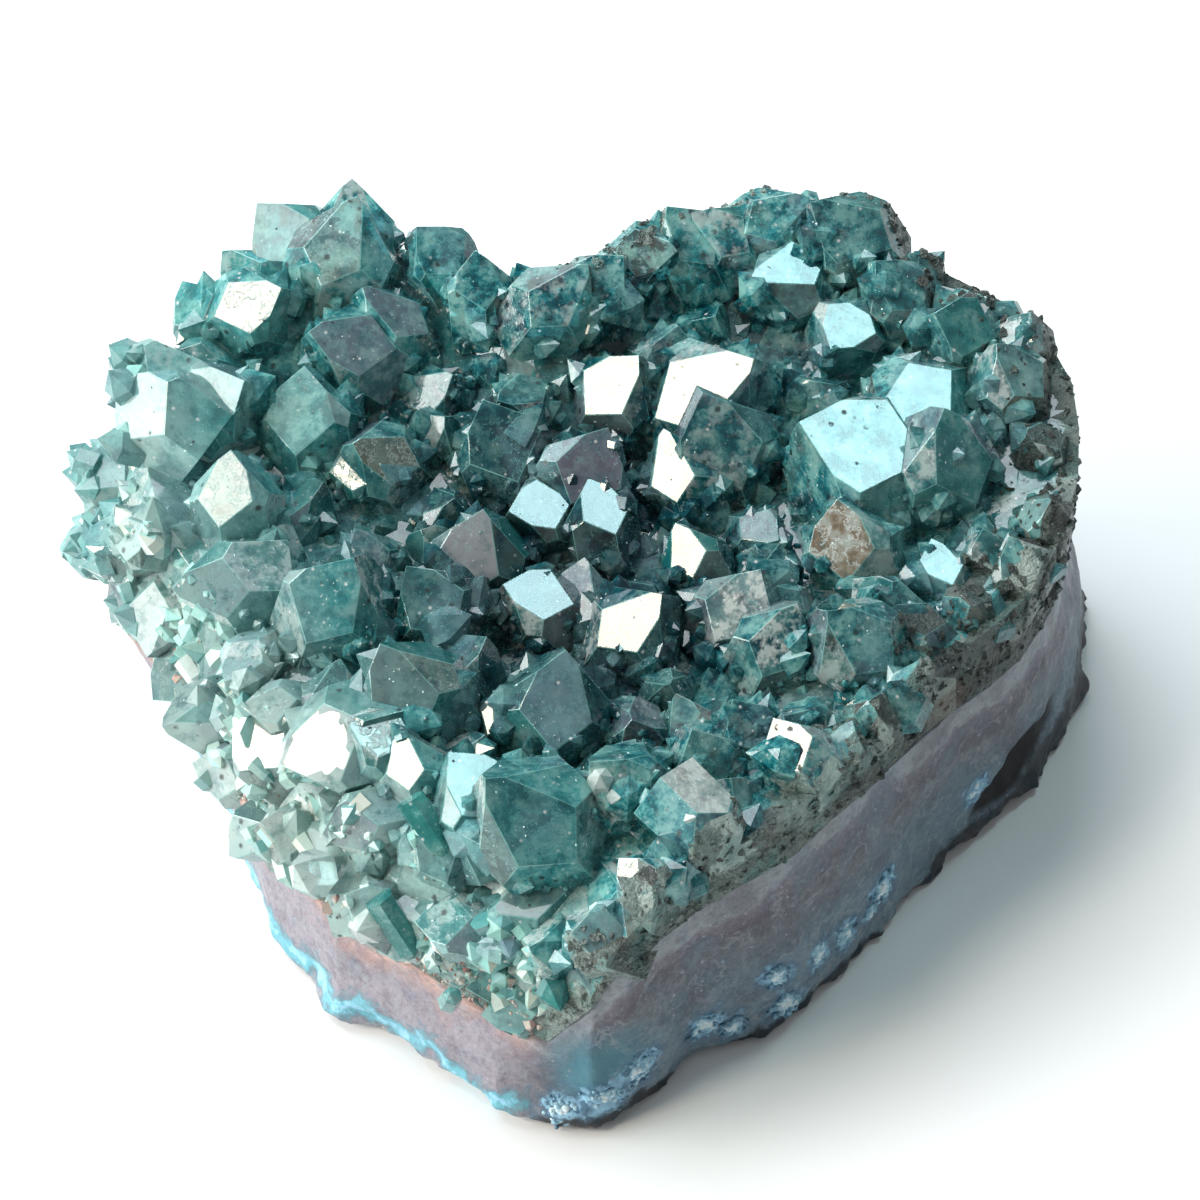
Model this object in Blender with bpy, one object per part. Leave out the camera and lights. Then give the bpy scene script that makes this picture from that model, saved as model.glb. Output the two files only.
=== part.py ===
# Heart-shaped cut of dyed amethyst: a crust of teal quartz crystals on its chalcedony matrix.
# Metres, +Z up. The flat base stands on z = 0 and the heart's point faces -Y.

import math
import random

import bmesh
import bpy
from mathutils import Matrix, Quaternion, Vector, noise

# Driving dimensions
mm = 0.001
gapBetweenPieces = 0.3 * mm
crystalTipAngle = math.radians(51.8)
fillCrystalCount = 69
fillRadiusSmall = 1.9 * mm
fillRadiusLarge = 3.2 * mm
leastLean = 0.74
edgeFall = 9.0 * mm
edgeFallWidth = 6.5 * mm
seed = 7

# Where the specimen is looked at from, and the two lights that its flashing faces mirror
eyeElevation = math.radians(45)
eyeDistance = 260 * mm
eyeTarget = Vector((2.2, 0.0, 22.4)) * mm
pixelsPerUnitSlope = 3562.0
pictureCentre = 600.0
warmLight = Vector((-330.0, -190.0, 400.0)) * mm
coolLight = Vector((190.0, 150.0, 480.0)) * mm

# The heart in plan, from its point round by the right lobe, the notch and the left lobe.
# Each line is a point of the rim and, under it, the point of the foot, in mm.
outline = [
    ((-1.5, -30.0), (-0.9, -31.3)),
    ((1.5, -30.2), (1.8, -31.1)),
    ((4.0, -29.4), (4.2, -30.2)),
    ((6.5, -27.3), (7.2, -27.4)),
    ((9.2, -25.0), (8.8, -25.4)),
    ((12.5, -22.9), (12.8, -23.3)),
    ((15.8, -20.8), (16.2, -21.7)),
    ((18.6, -17.9), (18.6, -18.9)),
    ((21.3, -14.9), (21.2, -15.9)),
    ((23.6, -11.6), (23.8, -12.3)),
    ((25.8, -8.4), (25.8, -9.4)),
    ((28.2, -5.8), (28.2, -6.6)),
    ((30.8, -3.4), (30.9, -3.9)),
    ((33.2, -0.6), (34.2, -0.8)),
    ((35.0, 3.0), (36.8, 2.8)),
    ((36.3, 7.0), (39.2, 7.4)),
    ((37.0, 11.0), (40.8, 11.8)),
    ((37.2, 15.0), (41.6, 16.8)),
    ((36.8, 19.0), (41.9, 21.8)),
    ((35.4, 23.2), (40.2, 26.2)),
    ((32.6, 26.8), (36.6, 29.6)),
    ((28.8, 30.0), (32.0, 31.8)),
    ((24.2, 32.6), (27.0, 33.0)),
    ((19.3, 34.2), (21.5, 33.6)),
    ((14.5, 34.4), (16.0, 33.4)),
    ((10.0, 33.2), (11.0, 31.6)),
    ((6.0, 31.0), (6.8, 29.0)),
    ((2.6, 28.2), (3.0, 26.0)),
    ((-0.4, 25.6), (0.0, 23.4)),
    ((-3.2, 24.0), (-3.2, 21.6)),
    ((-6.0, 26.2), (-5.6, 23.6)),
    ((-9.4, 29.8), (-8.5, 26.6)),
    ((-13.4, 32.8), (-12.0, 29.0)),
    ((-18.2, 34.4), (-16.0, 30.2)),
    ((-23.0, 32.6), (-20.2, 28.8)),
    ((-27.8, 29.6), (-24.4, 26.0)),
    ((-31.8, 25.4), (-28.0, 21.8)),
    ((-35.4, 20.2), (-30.2, 17.0)),
    ((-36.2, 14.2), (-30.8, 11.6)),
    ((-34.6, 8.8), (-29.4, 6.0)),
    ((-30.8, 4.0), (-27.2, 0.8)),
    ((-27.4, -0.8), (-25.0, -4.4)),
    ((-25.2, -6.0), (-23.4, -9.6)),
    ((-23.0, -11.4), (-21.9, -14.6)),
    ((-20.0, -15.8), (-18.8, -18.4)),
    ((-16.8, -19.6), (-16.8, -22.0)),
    ((-13.0, -22.7), (-12.8, -23.4)),
    ((-9.0, -25.8), (-8.5, -26.9)),
    ((-5.0, -28.4), (-5.1, -30.0)),
]
heartCentre = Vector((0.0, 2.0))

# Heights in mm round the heart, each after its compass angle in degrees from +X
rindHeights = [(-180, 10), (-135, 10), (-105, 9.8), (-94, 8), (-82, 16.5), (-45, 18.5), (-20, 17),
               (0, 16.5), (20, 14.5), (60, 16), (90, 16), (125, 15), (155, 12), (180, 10)]
rimHeights = [(-180, 22), (-135, 20), (-100, 17.5), (-90, 19), (-80, 21.5), (-45, 23), (0, 23.5),
              (45, 28.5), (65, 31), (90, 29.5), (125, 31.5), (160, 26), (180, 22)]
naturalEdge = [(-180, 1), (-100, 1), (-90, 0.9), (-80, 0), (0, 0), (60, 0.1), (110, 0.3), (150, 1), (180, 1)]
rindHeightInside = 12.0
floorHeightInside = 19.0

# Crystals that can be told apart: column and row of the face that is seen, radius in mm, what that face
# mirrors or the way it faces, and a turn about that face in degrees.
knownCrystals = [
    (612, 385, 3.6, "warm", 25),
    (705, 388, 5.2, "warm", -20),
    (670, 465, 3.4, "warm", 60),
    (684, 550, 2.6, "warm", 40),
    (630, 620, 3.6, "warm", -35),
    (318, 742, 4.2, "warm", 10),
    (258, 742, 3.2, "warm", -50),
    (405, 760, 2.6, "warm", 45),
    (500, 712, 2.2, "warm", 0),
    (787, 745, 2.6, "warm", 30),
    (635, 878, 2.2, "warm", -15),
    (682, 800, 2.2, "warm", 75),
    (248, 302, 3.4, "warm", -25),
    (225, 488, 3.4, "warm", 35),
    (355, 468, 2.4, "warm", -60),
    (280, 232, 3.6, "warm", 15),
    (862, 440, 5.8, "cool", 10),
    (915, 395, 4.4, "cool", 70),
    (788, 268, 3.8, "cool", -30),
    (848, 325, 3.2, "cool", 50),
    (540, 506, 3.0, "cool", 20),
    (602, 506, 3.0, "cool", -40),
    (538, 594, 3.2, "cool", 80),
    (482, 785, 4.0, "cool", -10),
    (380, 730, 3.0, "cool", 35),
    (352, 340, 4.0, (0.30, -0.45, 0.84), 20),
    (395, 310, 3.6, (0.45, -0.30, 0.84), -40),
    (475, 552, 3.8, (-0.15, -0.75, 0.64), 0),
    (386, 455, 3.4, (0.50, -0.50, 0.70), 30),
    (590, 465, 3.8, (0.20, -0.60, 0.77), -25),
    (842, 540, 3.6, (-0.35, -0.70, 0.62), 15),
    (738, 605, 3.6, (-0.20, -0.65, 0.73), -30),
    (722, 440, 4.6, (0.10, -0.80, 0.60), 10),
    (530, 820, 5.0, (0.15, -0.75, 0.64), 15),
    (560, 700, 4.2, (0.10, -0.70, 0.70), -20),
    (400, 690, 4.2, (-0.15, -0.75, 0.64), 35),
    (330, 600, 4.2, (-0.20, -0.75, 0.63), -10),
    (300, 410, 4.0, (-0.25, -0.60, 0.76), 40),
    (210, 400, 3.8, (-0.40, -0.60, 0.69), -15),
    (140, 405, 4.0, (-0.55, -0.50, 0.67), 20),
    (210, 590, 3.8, (-0.40, -0.70, 0.59), 0),
    (150, 620, 3.4, (-0.60, -0.60, 0.53), 30),
    (100, 540, 3.4, (-0.70, -0.40, 0.59), -30),
    (340, 240, 4.4, (-0.10, -0.60, 0.79), 20),
    (560, 295, 3.8, (0.00, -0.65, 0.76), -15),
    (690, 235, 3.4, (0.15, -0.55, 0.82), 35),
    (960, 455, 4.4, (0.45, -0.65, 0.61), -20),
    (850, 225, 4.2, (0.20, -0.55, 0.81), 10),
    (860, 640, 3.8, (0.25, -0.70, 0.67), 25),
    (780, 640, 3.4, (-0.05, -0.75, 0.66), -35),
    (620, 790, 3.4, (0.05, -0.80, 0.60), 30),
    (720, 840, 3.0, (0.30, -0.75, 0.59), -10),
    (430, 600, 3.6, (-0.05, -0.65, 0.76), 45),
    (500, 440, 4.0, (-0.05, -0.60, 0.80), 0),
    (350, 215, 3.6, (-0.05, -0.50, 0.86), 0),
    (440, 250, 3.0, (0.20, -0.60, 0.77), 20),
    (480, 280, 2.8, (0.10, -0.60, 0.79), -30),
    (600, 278, 3.0, (-0.10, -0.55, 0.83), 10),
    (645, 250, 3.0, (-0.20, -0.50, 0.84), -20),
    (720, 232, 3.2, (0.15, -0.55, 0.82), 15),
    (778, 215, 3.4, (0.00, -0.55, 0.83), 0),
    (900, 285, 3.2, (0.30, -0.55, 0.78), -10),
    (965, 325, 3.2, (0.35, -0.55, 0.76), 15),
    (1020, 370, 3.2, (0.40, -0.50, 0.77), -15),
    (240, 270, 2.8, (-0.35, -0.50, 0.79), 10),
    (190, 305, 2.8, (-0.50, -0.40, 0.77), -20),
    (128, 368, 3.0, (-0.60, -0.40, 0.69), 15),
    (78, 545, 2.8, (-0.70, -0.45, 0.55), 10),
    (120, 600, 2.6, (-0.70, -0.55, 0.46), -15),
    (165, 680, 2.6, (-0.65, -0.60, 0.47), 20),
    (215, 775, 2.8, (-0.60, -0.65, 0.46), -10),
    (245, 840, 2.6, (-0.60, -0.65, 0.46), 25),
    (300, 865, 3.0, (-0.55, -0.70, 0.46), 0),
    (345, 915, 2.6, (-0.50, -0.75, 0.43), -30),
    (350, 830, 2.8, (-0.45, -0.75, 0.49), 30),
    (430, 850, 3.0, (-0.40, -0.80, 0.45), 0),
    (400, 940, 2.8, (-0.45, -0.80, 0.40), 20),
    (455, 965, 2.4, (-0.30, -0.85, 0.43), -20),
    (512, 940, 2.8, (-0.15, -0.85, 0.50), 35),
    (508, 1015, 2.4, (-0.30, -0.88, 0.37), 0),
    (555, 955, 2.4, (0.30, -0.85, 0.43), -25),
]


def clearScene():
    for item in list(bpy.data.objects):
        bpy.data.objects.remove(item, do_unlink=True)


def around(angle, table):
    """Value of a table at a compass angle in degrees, eased between its entries."""
    for (a0, v0), (a1, v1) in zip(table, table[1:]):
        if a0 <= angle <= a1:
            t = (angle - a0) / (a1 - a0)
            return v0 + (v1 - v0) * t * t * (3 - 2 * t)
    return table[-1][1]


rimPoints = [Vector(rim) for rim, foot in outline]
footPoints = [Vector(foot) for rim, foot in outline]


def reach(direction):
    """Distance in mm from the heart's centre to its rim along a direction."""
    far = direction.normalized()
    best = 0.0
    for i, p in enumerate(rimPoints):
        q = rimPoints[(i + 1) % len(rimPoints)]
        a = p - heartCentre
        b = q - heartCentre
        side = b - a
        cross = far.x * side.y - far.y * side.x
        if abs(cross) < 1e-9:
            continue
        along = (a.x * side.y - a.y * side.x) / cross
        part = (a.x * far.y - a.y * far.x) / cross
        if along > 0 and -1e-6 <= part <= 1 + 1e-6:
            best = max(best, along)
    return best


def polar(x, y):
    """Compass angle, share of the way to the rim and distance inside the rim, all from the centre."""
    offset = Vector((x, y)) - heartCentre
    if offset.length < 1e-6:
        return 0.0, 0.0, 30.0
    edge = reach(offset)
    return math.degrees(math.atan2(offset.y, offset.x)), offset.length / edge, edge - offset.length


def rindTop(x, y):
    """Height in mm of the matrix's upper surface."""
    angle, share, inside = polar(x, y)
    blend = min(share, 1.0) ** 3
    wave = 0.5 * noise.noise(Vector((x * 0.16, y * 0.16, 3.0)))
    return rindHeightInside + (around(angle, rindHeights) - rindHeightInside) * blend + wave


def floorTop(x, y):
    """Height in mm of the druse floor that the crystals stand on. It is a shallow bowl with rolled edges."""
    angle, share, inside = polar(x, y)
    blend = min(share, 1.0) ** 2.2
    height = floorHeightInside + (around(angle, rimHeights) - floorHeightInside) * blend
    roll = edgeFallWidth / mm
    fall = (edgeFall / mm) * around(angle, naturalEdge)
    if inside < roll:
        height -= fall * (1 - max(inside, 0.0) / roll) ** 2
    if inside < 0:
        height += inside * 3.0
    return height


def floorFacing(x, y):
    step = 0.6
    slopeX = (floorTop(x + step, y) - floorTop(x - step, y)) / (2 * step)
    slopeY = (floorTop(x, y + step) - floorTop(x, y - step)) / (2 * step)
    return Vector((-slopeX, -slopeY, 1.0)).normalized()


eyeBack = Vector((0.0, -math.cos(eyeElevation), math.sin(eyeElevation)))
eyePoint = eyeTarget + eyeBack * eyeDistance


def placeSeen(column, row, rise):
    """The point on the line of sight through a picture place that lies a rise above the druse floor, in mm."""
    up = eyeBack.cross(Vector((1.0, 0.0, 0.0)))
    sight = Vector((1.0, 0.0, 0.0)) * ((column - pictureCentre) / pixelsPerUnitSlope)
    sight -= up * ((row - pictureCentre) / pixelsPerUnitSlope)
    sight -= eyeBack
    point = (eyePoint + sight * (eyeDistance * 0.8)) / mm
    nearest = point.copy()
    clearance = 1000.0
    for step in range(700):
        above = point.z - floorTop(point.x, point.y)
        if above < clearance:
            clearance = above
            nearest = point.copy()
        if above <= rise:
            break
        point += sight * 0.15
    return nearest


def ring(points, heights):
    return [Vector((p.x, p.y, h)) * mm for p, h in zip(points, heights)]


def loft(name, rings, closeFirst, closeLast):
    """A closed body through rings of equal count, shut at each end by a face or by a fan to its middle."""
    bm = bmesh.new()
    rows = [[bm.verts.new(p) for p in points] for points in rings]
    count = len(rows[0])
    for low, high in zip(rows, rows[1:]):
        for i in range(count):
            j = (i + 1) % count
            bm.faces.new((low[i], low[j], high[j], high[i]))
    for row, shut in ((rows[0], closeFirst), (rows[-1], closeLast)):
        if shut is None:
            bm.faces.new(row)
            continue
        middle = bm.verts.new(shut)
        for i in range(count):
            bm.faces.new((row[i], row[(i + 1) % count], middle))
    bmesh.ops.recalc_face_normals(bm, faces=bm.faces)
    bmesh.ops.triangulate(bm, faces=bm.faces)
    mesh = bpy.data.meshes.new(name)
    bm.to_mesh(mesh)
    bm.free()
    return bpy.data.objects.new(name, mesh)


def shrunk(points, share):
    return [heartCentre + (p - heartCentre) * share for p in points]


innerShares = (0.88, 0.68, 0.46, 0.22)


def rindRings(spare):
    """Rings of the rind from its foot to the middle of its top, all a spare distance outside the stone."""
    rng = random.Random(seed)
    rings = [ring(shrunk(footPoints, 0.95), [-20.0 * spare] * len(outline))]
    foot = [p + (p - heartCentre).normalized() * spare for p in footPoints]
    rings.append(ring(foot, [rng.uniform(0.2, 1.6) - spare for p in foot]))
    for level in (0.22, 0.45, 0.7, 1.0):
        points = []
        heights = []
        for foot, rim in zip(footPoints, rimPoints):
            height = rindTop(rim.x, rim.y) * level
            lean = min(1.0, height / 20.0) if foot.x > 0 else level
            p = foot.lerp(rim, lean)
            lump = noise.noise(Vector((p.x * 0.3, p.y * 0.3, height * 0.35))) * 0.7
            out = (p - heartCentre).normalized()
            points.append(p + out * (lump * min(1.0, 4.0 * (1.0 - level)) + spare))
            heights.append(height + (spare if level == 1.0 else 0.0))
        rings.append(ring(points, heights))
    for share in innerShares:
        inner = shrunk(points, share)
        rings.append(ring(inner, [rindTop(p.x, p.y) + spare for p in inner]))
    return rings, points


def makeMatrix():
    """The rind: a ragged foot, walls that lean from foot to rim, and a wavy top."""
    rings, topPoints = rindRings(0.0)
    middle = Vector((heartCentre.x, heartCentre.y, rindTop(*heartCentre))) * mm
    return loft("matrix", rings, None, middle), topPoints


def makeBed():
    """What the crust is cut back to underneath, so that it lies on the rind at a small gap."""
    gap = gapBetweenPieces / mm
    rings, topPoints = rindRings(gap)
    middle = Vector((heartCentre.x, heartCentre.y, rindTop(*heartCentre) + gap)) * mm
    return loft("rind_bed", rings, None, middle)


def makeFloor(topPoints):
    """The granular slab of the crust. Its underside is cut to the rind later."""
    rings = []
    for share in reversed(innerShares):
        points = shrunk(topPoints, share)
        rings.append(ring(points, [rindTop(p.x, p.y) - 1.0 for p in points]))
    rings.append(ring(topPoints, [rindTop(r.x, r.y) - 1.0 for r in rimPoints]))
    edge = []
    for r in rimPoints:
        edge.append(max(floorTop(r.x, r.y), rindTop(r.x, r.y) + 1.5))
    rings.append(ring(topPoints, edge))
    for share in innerShares:
        points = shrunk(topPoints, share)
        rings.append(ring(points, [floorTop(p.x, p.y) for p in points]))
    low = Vector((heartCentre.x, heartCentre.y, rindTop(*heartCentre) - 1.0)) * mm
    high = Vector((heartCentre.x, heartCentre.y, floorTop(*heartCentre))) * mm
    return loft("crystal_crust", rings, low, high)


def trimFlat(bm, point, facing):
    """Cuts a convex solid off beyond a plane and closes the cut."""
    geometry = list(bm.verts) + list(bm.edges) + list(bm.faces)
    cut = bmesh.ops.bisect_plane(bm, geom=geometry, plane_co=point, plane_no=facing, clear_outer=True)
    edges = [item for item in cut["geom_cut"] if isinstance(item, bmesh.types.BMEdge)]
    if len(edges) > 2:
        bmesh.ops.contextual_create(bm, geom=edges)


def addCrystal(bm, tip, turn, radius, length, rng):
    """A six-sided quartz crystal with three broad and three narrow tip faces, its tip at a point."""
    solid = bmesh.new()
    shift = Matrix.Translation((0.0, 0.0, -length / 2 + radius))
    bmesh.ops.create_cone(solid, cap_ends=True, segments=6, radius1=radius * 1.08, radius2=radius,
                          depth=length + 2 * radius, matrix=shift)
    for k in range(6):
        side = math.radians(30 + 60 * k)
        facing = Vector((math.sin(crystalTipAngle) * math.cos(side),
                         math.sin(crystalTipAngle) * math.sin(side), math.cos(crystalTipAngle)))
        step = 0.0 if k % 2 == 0 else rng.uniform(0.05, 0.3) * radius
        trimFlat(solid, facing * step, facing)
    place = Matrix.Translation(tip) @ turn.to_matrix().to_4x4()
    bmesh.ops.transform(solid, matrix=place, verts=solid.verts)
    mesh = bpy.data.meshes.new("crystal")
    solid.to_mesh(mesh)
    solid.free()
    bm.from_mesh(mesh)
    bpy.data.meshes.remove(mesh)


def facingOf(kind, point):
    if kind == "warm":
        target = warmLight
    elif kind == "cool":
        target = coolLight
    else:
        return Vector(kind).normalized()
    toEye = (eyePoint - point).normalized()
    toLight = (target - point).normalized()
    return (toEye + toLight).normalized()


def turnForFace(facing, growth, extra):
    """The turn that sets the first tip face to a facing, with the crystal's axis leaning to its growth."""
    cross = facing.cross(growth)
    if cross.length < 1e-4:
        cross = Vector((1.0, 0.0, 0.0))
    nearest = Quaternion(cross.normalized(), crystalTipAngle) @ facing
    for share in (1.0, 0.75, 0.5, 0.25, 0.0):
        axis = Quaternion(facing, math.radians(extra * share)) @ nearest
        if axis.dot(growth) > leastLean:
            break
    across = (facing - axis * facing.dot(axis)).normalized()
    # the first face lies 30 degrees round from the crystal's own X
    ownX = Quaternion(axis, math.radians(-30)) @ across
    ownY = axis.cross(ownX)
    basis = Matrix((ownX, ownY, axis)).transposed()
    return basis.to_quaternion(), axis


def growCrystals():
    rng = random.Random(seed)
    bm = bmesh.new()
    taken = []
    for column, row, radiusMm, kind, extra in knownCrystals:
        rise = radiusMm * 0.95 + 0.8
        seen = placeSeen(column, row, rise)
        growth = floorFacing(seen.x, seen.y)
        point = seen * mm
        turn, axis = turnForFace(facingOf(kind, point), growth, extra)
        radius = radiusMm * mm
        side = math.radians(30)
        downSlope = turn @ Vector((math.cos(crystalTipAngle) * math.cos(side),
                                   math.cos(crystalTipAngle) * math.sin(side), -math.sin(crystalTipAngle)))
        tip = point - downSlope * radius * 0.85
        length = (rise + 4.0) * mm
        addCrystal(bm, tip, turn, radius, length, rng)
        taken.append((Vector((seen.x, seen.y, floorTop(seen.x, seen.y))), radiusMm))
    made = 0
    for dart in range(9000):
        x = rng.uniform(-40, 40)
        y = rng.uniform(-33, 36)
        largest = fillRadiusLarge if dart < 3000 else fillRadiusSmall * 1.3
        radiusMm = rng.uniform(fillRadiusSmall, largest) / mm
        angle, share, inside = polar(x, y)
        if inside < (-1.4 if around(angle, naturalEdge) > 0.5 else 0.0):
            continue
        base = Vector((x, y, floorTop(x, y)))
        if base.z < rindTop(x, y) + 1.0:
            continue
        if any((base - other).length < (radiusMm + size) * 0.74 for other, size in taken):
            continue
        growth = floorFacing(x, y)
        lean = Vector((rng.gauss(0, 0.3), rng.gauss(0, 0.3), rng.gauss(0, 0.3)))
        axis = (growth + lean).normalized()
        turn = axis.to_track_quat("Z", "Y") @ Quaternion((0.0, 0.0, 1.0), rng.uniform(0, math.pi))
        height = rng.uniform(1.1, 1.6) * radiusMm
        tip = (base + axis * height) * mm
        addCrystal(bm, tip, turn, radiusMm * mm, (height + 3.0) * mm, rng)
        taken.append((base, radiusMm))
        made += 1
        if made >= fillCrystalCount:
            break
    print("known crystals", len(knownCrystals), "fill crystals", made)
    mesh = bpy.data.meshes.new("growth")
    bm.to_mesh(mesh)
    bm.free()
    return bpy.data.objects.new("growth", mesh)


def makeSaw(topPoints):
    """The block that the saw left: flush with the right wall, clear of the grown left side."""
    points = []
    for p, r in zip(topPoints, rimPoints):
        angle, share, inside = polar(r.x, r.y)
        spare = 0.3 + 14.0 * around(angle, naturalEdge)
        points.append(p + (p - heartCentre).normalized() * spare)
    low = ring(points, [-5.0] * len(points))
    high = ring(points, [60.0] * len(points))
    return loft("saw_block", [low, high], None, None)


def boolean(item, other, operation, selfCut):
    step = item.modifiers.new(operation.lower(), "BOOLEAN")
    step.solver = "EXACT"
    step.operation = operation
    step.use_self = selfCut
    step.object = other


def applied(item, name):
    """A plain mesh object of what an object's modifiers make."""
    graph = bpy.context.evaluated_depsgraph_get()
    mesh = bpy.data.meshes.new_from_object(item.evaluated_get(graph))
    mesh.name = name
    item.modifiers.clear()
    item.data = mesh


def keepOuterSkin(bm):
    """Drops the small closed bubbles left between crystals, and crumbs that the saw cut loose."""
    left = set(bm.faces)
    patches = []
    while left:
        start = left.pop()
        patch = {start}
        edge = [start]
        while edge:
            face = edge.pop()
            for side in face.edges:
                for other in side.link_faces:
                    if other in left:
                        left.remove(other)
                        patch.add(other)
                        edge.append(other)
        patches.append(patch)
    patches.sort(key=len)
    for patch in patches[:-1]:
        bmesh.ops.delete(bm, geom=list(patch), context="FACES")


def tidyFaces(item):
    """Merges triangles that lie in one plane, so that each crystal face stays one flat face."""
    bm = bmesh.new()
    bm.from_mesh(item.data)
    keepOuterSkin(bm)
    bmesh.ops.remove_doubles(bm, verts=bm.verts, dist=0.000003)
    bmesh.ops.dissolve_degenerate(bm, edges=bm.edges, dist=0.000003)
    bmesh.ops.dissolve_limit(bm, angle_limit=math.radians(0.4), verts=bm.verts, edges=bm.edges)
    bmesh.ops.triangulate(bm, faces=bm.faces)
    bm.to_mesh(item.data)
    bm.free()


def centreOnBase(items):
    """Moves the pieces together so that the middle of their plan box is the origin, on the base."""
    corners = [vertex.co for item in items for vertex in item.data.vertices]
    middleX = (min(p.x for p in corners) + max(p.x for p in corners)) / 2
    middleY = (min(p.y for p in corners) + max(p.y for p in corners)) / 2
    for item in items:
        item.data.transform(Matrix.Translation((-middleX, -middleY, 0.0)))
    print("moved by mm", round(-middleX / mm, 3), round(-middleY / mm, 3))


def material(name, colour, roughness, transmission):
    made = bpy.data.materials.new(name)
    made.use_nodes = True
    shader = made.node_tree.nodes["Principled BSDF"]
    shader.inputs["Base Color"].default_value = (*colour, 1.0)
    shader.inputs["Roughness"].default_value = roughness
    shader.inputs["Metallic"].default_value = 0.0
    shader.inputs["Transmission Weight"].default_value = transmission
    shader.inputs["IOR"].default_value = 1.54
    return made


def main():
    clearScene()
    pieces = bpy.data.collections.new("dyed_amethyst_cluster")
    cutters = bpy.data.collections.new("cutters")
    bpy.context.scene.collection.children.link(pieces)
    bpy.context.scene.collection.children.link(cutters)
    matrixPiece, topPoints = makeMatrix()
    crust = makeFloor(topPoints)
    growth = growCrystals()
    saw = makeSaw(topPoints)
    bed = makeBed()
    for item in (matrixPiece, crust):
        pieces.objects.link(item)
    for item in (growth, saw, bed):
        cutters.objects.link(item)
        item.hide_render = True
        item.display_type = "WIRE"
    boolean(crust, growth, "UNION", True)
    boolean(crust, saw, "INTERSECT", False)
    boolean(crust, bed, "DIFFERENCE", False)
    applied(crust, "crystal_crust")
    tidyFaces(crust)
    centreOnBase([matrixPiece, crust])
    matrixPiece.data.materials.append(material("grey_mauve_chalcedony", (0.22, 0.21, 0.23), 0.55, 0.0))
    crust.data.materials.clear()
    crust.data.materials.append(material("teal_quartz", (0.08, 0.33, 0.34), 0.12, 0.6))
    for item in (matrixPiece, crust):
        print(item.name, "triangles", sum(len(face.vertices) - 2 for face in item.data.polygons))


main()
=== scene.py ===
import math
import random

import bmesh
import bpy
import numpy as np
from mathutils import Matrix, Quaternion, Vector, noise
from mathutils.bvhtree import BVHTree


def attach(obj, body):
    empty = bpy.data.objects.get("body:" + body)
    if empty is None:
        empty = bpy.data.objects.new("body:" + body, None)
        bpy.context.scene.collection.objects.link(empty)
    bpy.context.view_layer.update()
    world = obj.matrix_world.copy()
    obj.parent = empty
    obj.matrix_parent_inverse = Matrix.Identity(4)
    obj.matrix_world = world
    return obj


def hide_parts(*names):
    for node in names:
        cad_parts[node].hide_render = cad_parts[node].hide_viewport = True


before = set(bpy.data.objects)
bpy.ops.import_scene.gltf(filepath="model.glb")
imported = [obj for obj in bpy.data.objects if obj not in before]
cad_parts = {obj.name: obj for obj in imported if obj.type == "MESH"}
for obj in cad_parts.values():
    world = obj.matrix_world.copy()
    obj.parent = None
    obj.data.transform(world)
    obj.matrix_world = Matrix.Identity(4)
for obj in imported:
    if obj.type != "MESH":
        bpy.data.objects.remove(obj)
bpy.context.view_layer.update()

mm = 0.001
heartCentre = Vector((-0.9, -0.8, 0.0)) * mm     # middle of the heart in plan
hollowCentre = Vector((-2.0, 0.3, 22.0)) * mm    # middle of the sunken part of the crystal field, where shade is painted


# small tools

def linearColour(hexText, alpha=1.0):
    parts = [int(hexText[i:i + 2], 16) / 255 for i in (1, 3, 5)]
    return [p / 12.92 if p <= 0.04045 else ((p + 0.055) / 1.055) ** 2.4 for p in parts] + [alpha]


def addNode(tree, kind, values=None, links=None, **settings):
    node = tree.nodes.new(kind)
    for name, value in settings.items():
        setattr(node, name, value)
    for name, value in (values or {}).items():
        node.inputs[name].default_value = value
    for name, socket in (links or {}).items():
        tree.links.new(socket, node.inputs[name])
    return node


def newMaterial(name):
    material = bpy.data.materials.new(name)
    material.use_nodes = True
    tree = material.node_tree
    tree.nodes.clear()
    output = addNode(tree, "ShaderNodeOutputMaterial")
    return material, tree, output


def placeMm(tree):
    # object position counted in millimetres, so that every scale below is a real one
    place = addNode(tree, "ShaderNodeTexCoord")
    return addNode(tree, "ShaderNodeVectorMath", {1: (1000, 1000, 1000)},
                   {0: place.outputs["Object"]}, operation="MULTIPLY").outputs[0]


def noiseMm(tree, place, size, detail=3.0, rough=0.55, warp=0.0):
    return addNode(tree, "ShaderNodeTexNoise",
                   {"Scale": 1.0 / size, "Detail": detail, "Roughness": rough, "Distortion": warp},
                   {"Vector": place}).outputs["Fac"]


def ramp(tree, factor, stops, smooth="LINEAR"):
    node = addNode(tree, "ShaderNodeValToRGB", links={"Fac": factor})
    node.color_ramp.interpolation = smooth
    bar = node.color_ramp.elements
    while len(bar) > 1:
        bar.remove(bar[-1])
    bar[0].position = stops[0][0]
    bar[0].color = stops[0][1]
    for at, colour in stops[1:]:
        bar.new(at).color = colour
    return node.outputs["Color"]


def mixColour(tree, factor, first, second, blend="MIX"):
    node = addNode(tree, "ShaderNodeMix", data_type="RGBA", blend_type=blend)
    for index, given in ((0, factor), (6, first), (7, second)):
        if hasattr(given, "is_output"):
            tree.links.new(given, node.inputs[index])
        else:
            node.inputs[index].default_value = given
    return node.outputs[2]


def remap(tree, value, low, high, toLow=0.0, toHigh=1.0):
    return addNode(tree, "ShaderNodeMapRange",
                   {"From Min": low, "From Max": high, "To Min": toLow, "To Max": toHigh},
                   {"Value": value}, clamp=True).outputs[0]


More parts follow.
